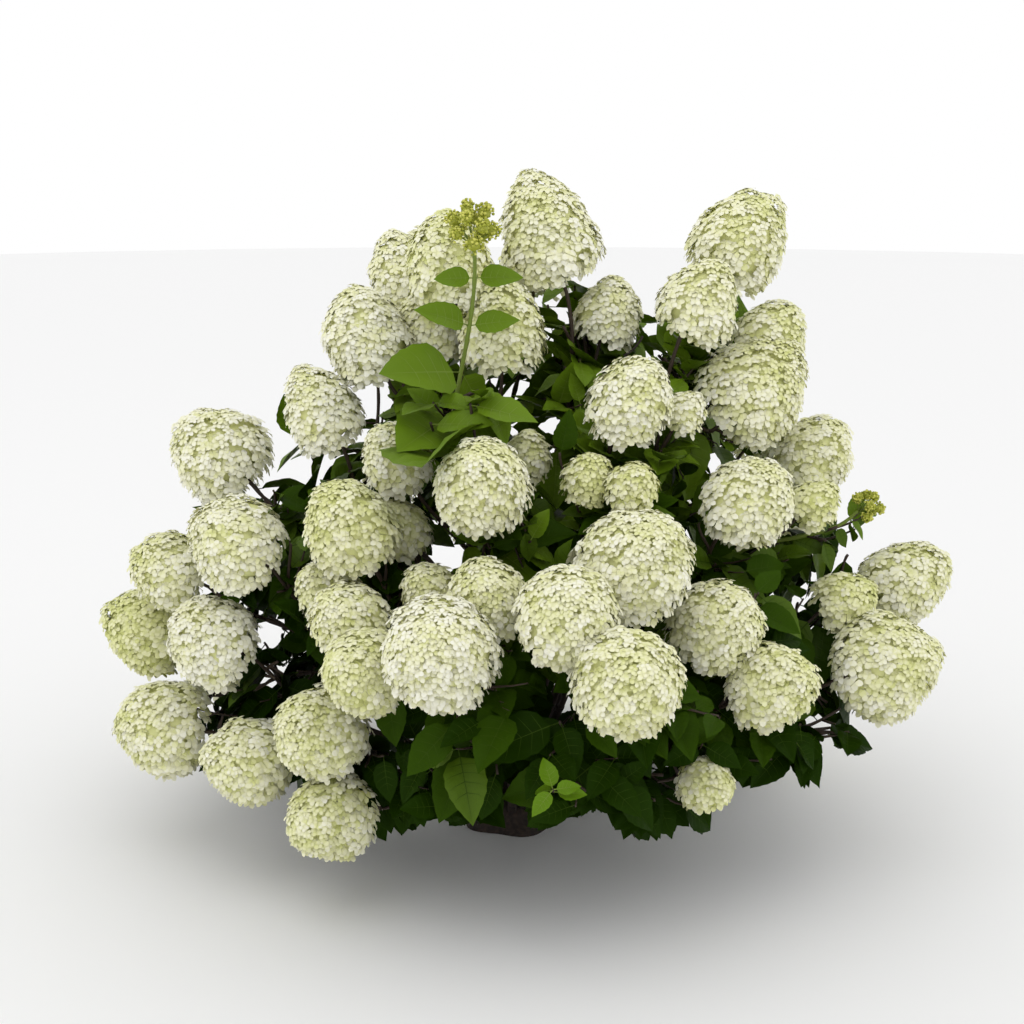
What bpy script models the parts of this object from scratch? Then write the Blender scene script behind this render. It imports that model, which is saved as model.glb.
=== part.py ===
"""A panicle hydrangea in full flower: a many-stemmed shrub rooted in the ground.

Metres, +Z up. The origin is on the ground, in the middle of the root stool's flat underside, and the shrub
is looked at along +Y. The stool carries one bough for each mass of foliage. A mass is a stem that runs on
from its bough to a flower head and branches to the others, with leaves in opposite pairs along every twig.
"""

import itertools
import math
import random

import bmesh
import bpy
import numpy as np
from mathutils import Vector
from mathutils.bvhtree import BVHTree

UP = Vector((0, 0, 1))
GAP = 0.0003  # between solids that touch
SEED = 41

# The line of sight that the places below are given from: in front of the shrub and a little above it.
EYE_DISTANCE = 3.4
EYE_TILT = math.radians(13.0)
AIM_HEIGHT = 0.62

# The root stool: a low woody dome on a flared foot with root lobes.
STOOL_RADIUS = 0.078
STOOL_HEIGHT = 0.066
STOOL_FLARE = 0.016
STOOL_FOOT = ((0.0, 1.0), (0.012, 0.4))  # height of a ring, and its share of the flare
STOOL_DOME_FOOT = 0.014
STOOL_DOME_TILTS = (12, 34, 56, 74)  # degrees up the dome at which its rings stand
STOOL_SIDES = 16
STOOL_LOBES = 5
LOBE_SWELL = 0.45  # of the flare

# Boughs: from the stool's dome to where their masses begin.
BOUGH_RADIUS = 0.0095
BOUGH_TIP_RADIUS = 0.0068
BOUGH_SIDES = 6
BOUGH_RINGS = 4
BOUGH_LEAD = 0.012  # straight length at the foot
BOUGH_ENTRY = 0.52  # share of the way to its flower heads at which a bough enters its mass
BOUGH_LIFT = 0.03  # height of that entry over the straight way
START_HEART = 0.2  # boughs leave away from this share of the stool's height on its axis
BOUGH_BEND = 0.35

# Twigs: a stem on from the bough, twigs from it and leafy side shoots from those.
STEM_RADIUS = 0.0058
STEM_LEAD = 0.02  # straight length at the foot
TWIG_RADIUS = 0.0046
TWIG_TIP_RADIUS = 0.0038
TWIG_SIDES = 4
TWIG_RINGS = 3
TWIG_BEND = 0.3
FORK_FIRST = 0.14  # share of the stem at which its first twig leaves
FORK_LAST = 0.66  # and at which no twig leaves beyond
SHOOT_RADIUS = 0.0040
SHOOT_TIP_RADIUS = 0.0032
SHOOT_LENGTH = (0.10, 0.15)
SHOOT_FROM = (0.30, 0.55)  # share of a twig at which its side shoot leaves
SHOOT_TRIES = 5

# Leaves, in opposite pairs, each pair square to the last.
LEAF_LENGTH = (0.110, 0.150)
LEAF_WIDTH = 0.54  # of its length
LEAF_THICKNESS = 0.02  # of its length
LEAF_FOLD = 0.10  # how far the edges stand above the midrib, of its length
LEAF_WIDEST = 0.46
LEAF_DROOP = (0.15, 0.65)
LEAF_CURL = (0.02, 0.14)
LEAF_FACE_OUT = 0.6  # how much a leaf faces away from the shrub's middle as well as up
LEAF_FACE_STRAY = 0.25
LEAF_SINK = 0.0012  # how far a leaf's root stands off its twig's middle line
LEAF_AHEAD = (0.35, 0.65)
LEAF_TRIES = 10
LEAF_SHRINK = 0.96  # of its length at each new try
SHOOT_LEAF_SIZE = 0.9
MOST_LEAVES = 16  # on one mass in flower
MOST_LEAVES_BARE = 32  # on one with no flowers
PAIR_STEP = 0.058
SHOOT_PAIR_STEP = 0.040
PAIR_STRAY = (0.85, 1.15)
FIRST_PAIR = 0.013  # from a twig's end, or from the base of its flower head
LAST_PAIR = 0.020  # from a twig's foot

# What a leaf or shoot stays clear of.
SPACE_MARGIN = 0.006  # how much nearer it lies to its own mass than to the next one
HEAD_MARGIN = -0.004  # leaves may dip this far into a flower head
OUTER_POINTS = 4  # of a leaf's points, the ones that are tested against flower heads
LIMB_MARGIN = 0.004
GROUND_MARGIN = 0.006
SPHERE_STEP = 0.012

# Flower heads.
HEAD_SIDES = 8
HEAD_RINGS = (0.03, 0.27, 0.56, 0.83)  # shares of the length, from the flat base towards the tip
HEAD_WIDEST = 0.36
HEAD_BASE_CURVE = 2.6
HEAD_DOME_CURVE = 0.62
HEAD_LUMP = 0.05
HEAD_SPHERES = (0.25, 0.45, 0.65, 0.82)
HEAD_SINK = 0.20  # share of a head's length that its twig runs into it
LEAN_LIFT = 0.12

# Each mass: its tier on the stool, then the ends of its twigs. A place is across and up in the plane through
# the aim point and square to the line of sight, then how far it stands in front of the root. A flower head
# follows with its width and length, and a leafy end has neither.
LOW, MIDDLE, HIGH = 0, 1, 2
LEAN_PIVOT = {LOW: 0.20, MIDDLE: 0.26, HIGH: 0.46}  # heads point away from this height on the shrub's axis
START_TILT = {LOW: 26, MIDDLE: 45, HIGH: 67}  # degrees up the dome at which a tier's boughs start
START_APART = {LOW: 38, MIDDLE: 40, HIGH: 62}
MASSES = {
    "top": (HIGH, (
        (0.064, 0.533, 0.00, 0.185, 0.235),
        (0.186, 0.384, -0.03, 0.130, 0.150),
    )),
    "top_left": (HIGH, (
        (-0.120, 0.481, 0.08, 0.165, 0.195),
        (-0.023, 0.355, 0.10, 0.165, 0.180),
        (-0.209, 0.458, -0.12, 0.130, 0.175),
        (-0.281, 0.342, 0.06, 0.165, 0.200),
        (-0.152, 0.361, 0.00, 0.150, 0.165),
    )),
    "top_right": (HIGH, (
        (0.437, 0.522, -0.05, 0.185, 0.205),
        (0.361, 0.403, 0.10, 0.150, 0.165),
        (0.496, 0.338, 0.00, 0.135, 0.145),
        (0.464, 0.236, 0.06, 0.205, 0.212),
    )),
    "left_shoulder": (MIDDLE, (
        (-0.365, 0.196, 0.10, 0.140, 0.175),
        (-0.560, 0.118, 0.00, 0.188, 0.200),
    )),
    "upper_front": (HIGH, (
        (-0.226, 0.103, 0.22, 0.130, 0.145),
        (-0.061, 0.048, 0.42, 0.165, 0.185),
        (0.029, 0.105, 0.20, 0.090, 0.100),
        (-0.076, 0.540, 0.26, 0.085, 0.090),
    )),
    "upper_right": (HIGH, (
        (0.230, 0.213, 0.28, 0.145, 0.170),
        (0.331, 0.190, 0.22, 0.075, 0.080),
        (0.148, 0.061, 0.32, 0.090, 0.100),
        (0.232, 0.042, 0.36, 0.090, 0.095),
    )),
    "left": (MIDDLE, (
        (-0.532, -0.055, 0.22, 0.178, 0.175),
        (-0.652, -0.106, 0.06, 0.150, 0.165),
    )),
    "left_low": (LOW, (
        (-0.695, -0.217, -0.02, 0.170, 0.190),
        (-0.576, -0.243, 0.24, 0.165, 0.175),
        (-0.669, -0.409, 0.16, 0.185, 0.190),
    )),
    "left_foot": (LOW, (
        (-0.509, -0.477, 0.32, 0.155, 0.170),
        (-0.369, -0.424, 0.43, 0.165, 0.175),
        (-0.353, -0.589, 0.44, 0.155, 0.165),
    )),
    "front_left": (MIDDLE, (
        (-0.317, -0.029, 0.36, 0.165, 0.180),
        (-0.213, -0.030, 0.22, 0.100, 0.120),
        (-0.353, -0.158, 0.30, 0.120, 0.130),
        (-0.315, -0.209, 0.44, 0.135, 0.140),
        (-0.285, -0.308, 0.54, 0.145, 0.170),
    )),
    "front": (MIDDLE, (
        (-0.143, -0.272, 0.64, 0.190, 0.200),
        (-0.048, -0.167, 0.50, 0.140, 0.150),
        (-0.160, -0.152, 0.40, 0.100, 0.110),
    )),
    "front_right": (MIDDLE, (
        (0.108, -0.200, 0.62, 0.170, 0.180),
        (0.239, -0.100, 0.50, 0.200, 0.210),
        (0.228, -0.329, 0.70, 0.180, 0.180),
    )),
    "front_foot": (LOW, (
        (0.020, -0.390, 0.56, 0, 0),
        (-0.220, -0.440, 0.40, 0, 0),
        (-0.130, -0.360, 0.48, 0, 0),
        (-0.070, -0.540, 0.42, 0, 0),
        (0.080, -0.520, 0.48, 0, 0),
        (0.180, -0.440, 0.52, 0, 0),
        (0.290, -0.500, 0.44, 0, 0),
    )),
    "right_front": (LOW, (
        (0.395, -0.217, 0.43, 0.160, 0.175),
        (0.500, -0.331, 0.46, 0.150, 0.160),
        (0.372, -0.526, 0.50, 0.095, 0.100),
    )),
    "right_low": (LOW, (
        (0.718, -0.291, 0.26, 0.200, 0.205),
        (0.635, -0.167, 0.18, 0.115, 0.120),
        (0.752, -0.129, 0.02, 0.160, 0.190),
        (0.560, -0.420, 0.30, 0, 0),
    )),
    "right": (MIDDLE, (
        (0.572, 0.112, -0.02, 0.158, 0.175),
        (0.456, 0.023, 0.28, 0.165, 0.165),
        (0.578, 0.017, 0.16, 0.090, 0.100),
        (0.676, 0.013, 0.06, 0.055, 0.055),
    )),
}

# Heads that lean towards or away from +X as well, by their mass and number.
LEANS = {("top", 0): -0.48}

# The far side carries heads in tiers round the root: height, reach and the bearings from +Y towards +X.
FAR_MASSES = {
    "far_left": (LOW, ((0.24, 0.69, -65), (0.27, 0.68, -37), (0.48, 0.70, -58), (0.46, 0.65, -35))),
    "far_low": (LOW, ((0.21, 0.68, -13), (0.24, 0.69, 12), (0.49, 0.68, -7), (0.35, 0.74, 23))),
    "far_right": (LOW, ((0.24, 0.72, 40), (0.18, 0.63, 61), (0.52, 0.73, 42), (0.54, 0.65, 63))),
    "far_shoulder_left": (MIDDLE, (
        (0.68, 0.66, -65),
        (0.61, 0.59, -26),
        (0.93, 0.41, -48),
        (0.91, 0.40, -4),
    )),
    "far_shoulder_right": (MIDDLE, (
        (0.67, 0.61, 35),
        (0.71, 0.66, 53),
        (0.96, 0.61, 42),
        (0.86, 0.52, 62),
    )),
    "far_top": (HIGH, ((1.08, 0.27, 10), (1.04, 0.46, -23))),
}
FAR_HEAD_WIDTH = (0.150, 0.180)
FAR_HEAD_STRETCH = 1.14

BARK, LEAF, PETAL = 0, 1, 2
COLOURS = (
    ("bark", (0.115, 0.070, 0.050), 0.85),
    ("leaf", (0.050, 0.130, 0.022), 0.55),
    ("petal", (0.800, 0.840, 0.600), 0.65),
)


def seen(across, up, near):
    """The place that looks to stand across and up in the sight plane, and is near in front of the root."""
    eye = Vector((0, -EYE_DISTANCE * math.cos(EYE_TILT), AIM_HEIGHT + EYE_DISTANCE * math.sin(EYE_TILT)))
    ahead = Vector((0, math.cos(EYE_TILT), -math.sin(EYE_TILT)))
    rise = Vector((0, math.sin(EYE_TILT), math.cos(EYE_TILT)))
    ray = ahead * EYE_DISTANCE + Vector((across, 0, 0)) + rise * up
    return eye + ray * ((-near - eye.y) / ray.y)


def bezier(ends, count):
    """count points evenly along the parameter of the cubic curve with these four control points."""
    a, b, c, d = ends
    points = []
    for i in range(count):
        t = i / (count - 1)
        s = 1 - t
        points.append(a * s**3 + b * 3 * s * s * t + c * 3 * s * t * t + d * t**3)
    return points


def length_of(path):
    return sum((b - a).length for a, b in zip(path, path[1:]))


def frames(path):
    """At each point of a path its direction and two square to it, carried along without a twist."""
    steps = [(b - a).normalized() for a, b in zip(path, path[1:])]
    across = steps[0].orthogonal().normalized()
    found = []
    for before, after in zip([steps[0], *steps], [*steps, steps[-1]]):
        ahead = (before + after).normalized()
        across = (across - ahead * across.dot(ahead)).normalized()
        found.append((ahead, across, ahead.cross(across)))
    return found


def along(path, share):
    """The point at a share of the way along a path, its direction and the two square to it."""
    left = share * length_of(path)
    sides = frames(path)
    for i, (a, b) in enumerate(zip(path, path[1:])):
        length = (b - a).length
        if left <= length or i == len(path) - 2:
            part = min(1.0, left / length)
            across, other = (sides[i][k].lerp(sides[i + 1][k], part).normalized() for k in (1, 2))
            return a.lerp(b, part), (b - a).normalized(), across, other
        left -= length


def tube(path, radii, sides):
    """A tapered limb with flat ends: (points, faces)."""
    points, faces = [], []
    for i, (centre, radius, (_, across, other)) in enumerate(zip(path, radii, frames(path))):
        for k in range(sides):
            turn = 2 * math.pi * k / sides
            points.append(centre + (across * math.cos(turn) + other * math.sin(turn)) * radius)
        if i:
            for k in range(sides):
                a, b = (i - 1) * sides + k, (i - 1) * sides + (k + 1) % sides
                faces.append((a, b, b + sides, a + sides))
    last = (len(path) - 1) * sides
    faces.append(tuple(reversed(range(sides))))
    faces.append(tuple(range(last, last + sides)))
    return points, faces


def taper(first, last, count):
    return [first + (last - first) * i / (count - 1) for i in range(count)]


def head_foot(head):
    """Where the twig meets the underside of a head, or ends, on a leafy one."""
    return head["centre"] - head["axis"] * head["length"] / 2


def head_profile(share):
    """A flower head's radius at a share of its length, of half its width: blunt below and domed above."""
    if share < HEAD_WIDEST:
        return math.sqrt(1 - ((HEAD_WIDEST - share) / HEAD_WIDEST) ** HEAD_BASE_CURVE)
    return (1 - ((share - HEAD_WIDEST) / (1 - HEAD_WIDEST)) ** 2) ** HEAD_DOME_CURVE


def head_solid(head, rng):
    """A lumpy egg on its axis, its base towards its twig: (points, faces)."""
    across = head["axis"].orthogonal().normalized()
    other = head["axis"].cross(across)
    base = head_foot(head)
    points = []
    for i, share in enumerate(HEAD_RINGS):
        radius = head["width"] / 2 * head_profile(share)
        for k in range(HEAD_SIDES):
            turn = 2 * math.pi * (k + i / 2) / HEAD_SIDES
            lump = radius * rng.uniform(1 - HEAD_LUMP, 1 + HEAD_LUMP)
            side = across * math.cos(turn) + other * math.sin(turn)
            points.append(base + head["axis"] * head["length"] * share + side * lump)
    points.append(base + head["axis"] * head["length"])
    faces = [tuple(reversed(range(HEAD_SIDES)))]
    for i in range(len(HEAD_RINGS) - 1):
        for k in range(HEAD_SIDES):
            a, b = i * HEAD_SIDES + k, i * HEAD_SIDES + (k + 1) % HEAD_SIDES
            faces += [(a, b, a + HEAD_SIDES), (b, b + HEAD_SIDES, a + HEAD_SIDES)]
    top = (len(HEAD_RINGS) - 1) * HEAD_SIDES
    faces += [(top + k, top + (k + 1) % HEAD_SIDES, len(points) - 1) for k in range(HEAD_SIDES)]
    return points, faces


def leaf_outline(leaf):
    """The leaf's own points: root, left edge, tip, right edge and the middle of its midrib."""
    length = leaf["length"]
    ahead, face = leaf["ahead"], leaf["face"]
    side = ahead.cross(face)
    middle = leaf["root"] + ahead * length * LEAF_WIDEST
    half = side * length * LEAF_WIDTH / 2
    lift = face * length * LEAF_FOLD
    tip = leaf["root"] + ahead * length - face * length * leaf["curl"]
    return leaf["root"], middle - half + lift, tip, middle + half + lift, middle


def leaf_solid(leaf):
    """A folded blade: four faces above, round the middle of the midrib, and two below that meet under it."""
    root, left, tip, right, middle = leaf_outline(leaf)
    thick = leaf["face"] * leaf["length"] * LEAF_THICKNESS
    points = [root, left, tip, right, middle + thick]
    return points, [(0, 3, 4), (3, 2, 4), (2, 1, 4), (1, 0, 4), (0, 1, 2), (0, 2, 3)]


def head_spheres(head):
    """Spheres that fill a flower head, as rows of x, y, z and radius."""
    base = head_foot(head)
    return [
        (*(base + head["axis"] * head["length"] * share), head["width"] / 2 * head_profile(share))
        for share in HEAD_SPHERES
    ]


def path_spheres(path, radius):
    rows = []
    for a, b in zip(path, path[1:]):
        count = max(1, round((b - a).length / SPHERE_STEP))
        rows += [(*a.lerp(b, i / count), radius) for i in range(count + 1)]
    return rows


def reach_to(spheres, points):
    """The distance from each point to the nearest of the spheres' surfaces."""
    apart = np.linalg.norm(points[:, None, :] - spheres[None, :, :3], axis=2) - spheres[None, :, 3]
    return apart.min(axis=1)


def far_place(height, reach, bearing):
    turn = math.radians(bearing)
    return Vector((reach * math.sin(turn), reach * math.cos(turn), height))


def head_at(tier, centre, width, length, lean=0.0):
    away = (centre - UP * LEAN_PIVOT[tier]).normalized()
    axis = (away + UP * LEAN_LIFT + Vector((lean, 0, 0))).normalized()
    return {"centre": centre, "axis": axis, "width": width, "length": length}


def plan_masses():
    """Every mass with its tier and its heads, in the order they are named above."""
    rng = random.Random(SEED)
    plan = {}
    for name, (tier, ends) in MASSES.items():
        heads = []
        for number, (*place, width, length) in enumerate(ends):
            lean = LEANS.get((name, number), 0.0)
            heads.append(head_at(tier, seen(*place), width, length, lean))
        plan[name] = {"tier": tier, "heads": heads}
    for name, (tier, places) in FAR_MASSES.items():
        heads = []
        for place in places:
            width = rng.uniform(*FAR_HEAD_WIDTH)
            heads.append(head_at(tier, far_place(*place), width, width * FAR_HEAD_STRETCH))
        plan[name] = {"tier": tier, "heads": heads}
    return plan


def stool_mesh():
    """The stool: a flared foot with root lobes, under a smooth dome, with a flat cut at the ground."""
    rings = [(height, STOOL_RADIUS + STOOL_FLARE * flare, flare) for height, flare in STOOL_FOOT]
    for tilt in map(math.radians, STOOL_DOME_TILTS):
        height = STOOL_DOME_FOOT + (STOOL_HEIGHT - STOOL_DOME_FOOT) * math.sin(tilt)
        rings.append((height, STOOL_RADIUS * math.cos(tilt), 0.0))
    points, faces = [], []
    for i, (height, radius, flare) in enumerate(rings):
        for k in range(STOOL_SIDES):
            turn = 2 * math.pi * k / STOOL_SIDES
            swell = radius + flare * STOOL_FLARE * LOBE_SWELL * math.cos(STOOL_LOBES * turn)
            points.append(Vector((swell * math.cos(turn), swell * math.sin(turn), height)))
        if i:
            for k in range(STOOL_SIDES):
                a, b = (i - 1) * STOOL_SIDES + k, (i - 1) * STOOL_SIDES + (k + 1) % STOOL_SIDES
                faces.append((a, b, b + STOOL_SIDES, a + STOOL_SIDES))
    top = (len(rings) - 1) * STOOL_SIDES
    points.append(Vector((0, 0, STOOL_HEIGHT)))
    faces.append(tuple(reversed(range(STOOL_SIDES))))
    faces += [(top + k, top + (k + 1) % STOOL_SIDES, len(points) - 1) for k in range(STOOL_SIDES)]
    return points, faces


def spread_bearings(bearings, least):
    """The bearings, pushed apart until each stands at least this far from its neighbours."""
    turns = list(bearings)
    order = sorted(range(len(turns)), key=lambda i: turns[i])
    for _ in range(200):
        for a, b in zip(order, order[1:] + order[:1]):
            step = (turns[b] - turns[a] + math.pi / 4) % (2 * math.pi) - math.pi / 4
            if step < least:
                turns[a] -= (least - step) / 4
                turns[b] += (least - step) / 4
    return turns


def bough_path(surface, turn, tilt, middle):
    """A bough's points, from the stool's dome at this bearing and tilt towards the middle of its mass."""
    out = Vector((math.cos(turn) * math.cos(tilt), math.sin(turn) * math.cos(tilt), math.sin(tilt)))
    heart = UP * STOOL_HEIGHT * START_HEART
    hit, normal, _, _ = surface.ray_cast(heart + out, -out)
    start = hit + normal * GAP
    entry = start.lerp(middle, BOUGH_ENTRY) + UP * BOUGH_LIFT
    reach = (entry - start).length
    leaving = (normal * 0.5 + (entry - start).normalized() + UP * 0.35).normalized()
    ending = (middle - entry).normalized()
    ends = (
        start + normal * BOUGH_LEAD,
        start + leaving * reach * BOUGH_BEND,
        entry - ending * reach * BOUGH_BEND,
        entry,
    )
    return [start, *bezier(ends, BOUGH_RINGS)]


def grow_boughs(plan, stool):
    """Gives each mass its bough, tier by tier up the stool's dome."""
    surface = BVHTree.FromPolygons(*stool)
    for tier in (LOW, MIDDLE, HIGH):
        masses = [mass for mass in plan.values() if mass["tier"] == tier]
        middles = [sum(map(head_foot, m["heads"]), Vector()) / len(m["heads"]) for m in masses]
        bearings = [math.atan2(p.y, p.x) for p in middles]
        turns = spread_bearings(bearings, math.radians(START_APART[tier]))
        for mass, middle, turn in zip(masses, middles, turns):
            mass["bough"] = bough_path(surface, turn, math.radians(START_TILT[tier]), middle)


def twig_to(head, start, leaving, rings):
    """A twig from start to a head's foot, and on into the head."""
    foot = head_foot(head)
    bend = (foot - start).length * TWIG_BEND
    arriving = (head["axis"] * 0.7 + UP * 0.3).normalized()
    path = bezier((start, start + leaving * bend, foot - arriving * bend, foot), rings)
    if head["width"]:
        path[-1] = foot + head["axis"] * head["length"] * HEAD_SINK
    return path


def grow_twigs(mass):
    """The stem that carries on from the bough to the first head, and from it one twig to each other head."""
    first, *others = mass["heads"]
    tip = mass["bough"][-1]
    ahead = (tip - mass["bough"][-2]).normalized()
    start = tip + ahead * GAP
    stem = [start, *twig_to(first, start + ahead * STEM_LEAD, ahead, TWIG_RINGS)]
    mass["twigs"] = [stem]
    for i, head in enumerate(others):
        fork, along_stem, _, _ = along(stem, FORK_FIRST + (FORK_LAST - FORK_FIRST) * i / len(others))
        leaving = (along_stem + (head_foot(head) - fork).normalized()).normalized()
        mass["twigs"].append(twig_to(head, fork, leaving, TWIG_RINGS))


def leaf_at(root, way, size, rng):
    """A leaf that leaves its twig at root, droops by its own weight and turns its upper face to the sky."""
    length = rng.uniform(*LEAF_LENGTH) * size
    ahead = (way - UP * rng.uniform(*LEAF_DROOP)).normalized()
    outward = Vector((root.x, root.y, 0)).normalized()
    stray = Vector([rng.uniform(-LEAF_FACE_STRAY, LEAF_FACE_STRAY) for _ in range(3)])
    face = UP + outward * LEAF_FACE_OUT + stray
    face = (face - ahead * face.dot(ahead)).normalized()
    return {"root": root, "ahead": ahead, "face": face, "length": length, "curl": rng.uniform(*LEAF_CURL)}


def leaf_places(path, first, step, size, rng):
    """Where opposite pairs leave a path's flat sides, from first short of its end back: (root, way, size)."""
    length = length_of(path)
    spin = math.pi / TWIG_SIDES + rng.randrange(2) * math.pi / 2
    from_end = first
    places = []
    while from_end < length - LAST_PAIR:
        point, ahead, side, other = along(path, 1 - from_end / length)
        for half in (0, math.pi):
            out = side * math.cos(spin + half) + other * math.sin(spin + half)
            way = (out + ahead * rng.uniform(*LEAF_AHEAD)).normalized()
            places.append((point + out * LEAF_SINK, way, size))
        spin += math.pi / 2
        from_end += step * rng.uniform(*PAIR_STRAY)
    return places


def side_shoot(path, rng):
    """A short leafy shoot from part way along a twig."""
    root, ahead, _, _ = along(path, rng.uniform(*SHOOT_FROM))
    outward = Vector((root.x, root.y, 0)).normalized()
    stray = Vector([rng.uniform(-1, 1) for _ in range(3)])
    way = (ahead * 0.5 + outward * 0.7 + stray * 0.8).normalized()
    return [root, root + way * rng.uniform(*SHOOT_LENGTH)]


def test_points(leaf):
    """Points over a leaf, as an array, that stand for it where its space is tested."""
    root, left, tip, right, middle = leaf_outline(leaf)
    points = [left, tip, right, middle]
    points += [a.lerp(b, 0.5) for a, b in ((left, tip), (tip, right), (right, root), (root, left))]
    return np.array(points + [middle.lerp(tip, 0.5)])


def gather_spaces(plan):
    """The spheres of each mass's own heads and twigs, which divide the room between the masses."""
    for mass in plan.values():
        rows = [row for head in mass["heads"] if head["width"] for row in head_spheres(head)]
        for path in mass["twigs"]:
            rows += path_spheres(path, TWIG_RADIUS)
        mass["space"] = np.array(rows)
    for name, mass in plan.items():
        mass["others"] = np.concatenate([other["space"] for key, other in plan.items() if key != name])


def keeps_to(mass, limbs, heads, points):
    """True if the points lie in the mass's own space, off ground and limbs, and the outer ones off heads."""
    if points[:, 2].min() < GROUND_MARGIN or reach_to(limbs, points).min() < LIMB_MARGIN:
        return False
    if (reach_to(mass["others"], points) - reach_to(mass["space"], points)).min() < SPACE_MARGIN:
        return False
    return reach_to(heads, points[:OUTER_POINTS]).min() > HEAD_MARGIN


def add_leaves(mass, places, limbs, heads, rng):
    """Grows a leaf at each of these places that has room for one, and says whether any grew."""
    bare = not any(head["width"] for head in mass["heads"])
    most = MOST_LEAVES_BARE if bare else MOST_LEAVES
    before = len(mass["leaves"])
    for root, way, size in places:
        for turn in range(LEAF_TRIES):
            leaf = leaf_at(root, way, size * LEAF_SHRINK**turn, rng)
            shape = BVHTree.FromPolygons(*leaf_solid(leaf))
            if len(mass["leaves"]) == most or any(map(shape.overlap, mass["leaf_shapes"])):
                continue
            if keeps_to(mass, limbs, heads, test_points(leaf)):
                mass["leaf_shapes"].append(shape)
                mass["leaves"].append(leaf)
                break
    return len(mass["leaves"]) > before


def grow_leaves(mass, limbs, heads, rng):
    """Fills a mass's own space with leaves that don't cross, on its twigs and then on side shoots of them."""
    mass["shoots"], mass["leaves"], mass["leaf_shapes"] = [], [], []
    rows = []
    for head, path in zip(mass["heads"], mass["twigs"]):
        first = FIRST_PAIR + head["length"] * HEAD_SINK
        rows.append(leaf_places(path, first, PAIR_STEP, 1.0, rng))
    in_turn = [place for rank in itertools.zip_longest(*rows) for place in rank if place]
    add_leaves(mass, in_turn, limbs, heads, rng)
    for path in mass["twigs"]:
        for _ in range(SHOOT_TRIES):
            shoot = side_shoot(path, rng)
            places = leaf_places(shoot, FIRST_PAIR, SHOOT_PAIR_STEP, SHOOT_LEAF_SIZE, rng)
            if keeps_to(mass, limbs, heads, np.array([shoot[1], shoot[1]])):
                if add_leaves(mass, places, limbs, heads, rng):
                    mass["shoots"].append(shoot)
                    break


def material(name, colour, roughness):
    made = bpy.data.materials.new(name)
    made.use_nodes = True
    shader = made.node_tree.nodes["Principled BSDF"]
    shader.inputs["Base Color"].default_value = (*colour, 1)
    shader.inputs["Roughness"].default_value = roughness
    shader.inputs["Metallic"].default_value = 0.0
    return made


def add_object(name, shape, slot, materials, collection):
    mesh = bpy.data.meshes.new(name)
    mesh.from_pydata([tuple(p) for p in shape[0]], [], shape[1])
    for made in materials:
        mesh.materials.append(made)
    mesh.polygons.foreach_set("material_index", [slot] * len(mesh.polygons))
    mesh.update()
    obj = bpy.data.objects.new(name, mesh)
    collection.objects.link(obj)
    return obj


def keep_main_shell(mesh):
    """Drops what a union leaves apart from the main shell: loose scraps, and the walls of sealed hollows."""
    work = bmesh.new()
    work.from_mesh(mesh)
    left = set(work.verts)
    shells = []
    while left:
        found, edge = set(), [left.pop()]
        while edge:
            vert = edge.pop()
            found.add(vert)
            for link in vert.link_edges:
                other = link.other_vert(vert)
                if other in left:
                    left.remove(other)
                    edge.append(other)
        shells.append(found)
    main = max(shells, key=len)
    bmesh.ops.delete(work, geom=[v for v in work.verts if v not in main], context="VERTS")
    work.to_mesh(mesh)
    work.free()


def fuse(name, shapes, materials):
    """One solid from overlapping ones, by a single Boolean union on their collection."""
    helpers = bpy.data.collections.new(name + "_parts")
    bpy.context.scene.collection.children.link(helpers)
    first = add_object(name, *shapes[0], materials, bpy.context.scene.collection)
    for i, (shape, slot) in enumerate(shapes[1:]):
        add_object(f"{name}_{i}", shape, slot, materials, helpers)
    union = first.modifiers.new("Union", "BOOLEAN")
    union.operation = "UNION"
    union.operand_type = "COLLECTION"
    union.collection = helpers
    union.solver = "MANIFOLD"
    graph = bpy.context.evaluated_depsgraph_get()
    fused = bpy.data.meshes.new_from_object(first.evaluated_get(graph))
    first.modifiers.clear()
    first.data = fused
    for helper in list(helpers.objects):
        bpy.data.objects.remove(helper)
    bpy.data.collections.remove(helpers)
    keep_main_shell(fused)
    return first


def mass_shapes(mass, rng):
    """The solids that one mass is fused from, each with its material: twigs, heads and leaves."""
    shapes = []
    for path, first in zip(mass["twigs"], itertools.chain([STEM_RADIUS], itertools.repeat(TWIG_RADIUS))):
        shapes.append((tube(path, taper(first, TWIG_TIP_RADIUS, len(path)), TWIG_SIDES), BARK))
    for path in mass["shoots"]:
        shapes.append((tube(path, [SHOOT_RADIUS, SHOOT_TIP_RADIUS], TWIG_SIDES), BARK))
    shapes += [(head_solid(head, rng), PETAL) for head in mass["heads"] if head["width"]]
    shapes += [(leaf_solid(leaf), LEAF) for leaf in mass["leaves"]]
    return shapes


def grow(stool):
    """The whole plant's plan: every mass with its heads, bough, twigs, shoots and leaves."""
    plan = plan_masses()
    grow_boughs(plan, stool)
    for mass in plan.values():
        grow_twigs(mass)
    gather_spaces(plan)
    limbs = np.array([row for mass in plan.values() for row in path_spheres(mass["bough"], BOUGH_RADIUS)])
    full = [head for mass in plan.values() for head in mass["heads"] if head["width"]]
    heads = np.array([row for head in full for row in head_spheres(head)])
    for number, mass in enumerate(plan.values()):
        grow_leaves(mass, limbs, heads, random.Random(SEED + number))
    return plan


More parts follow.
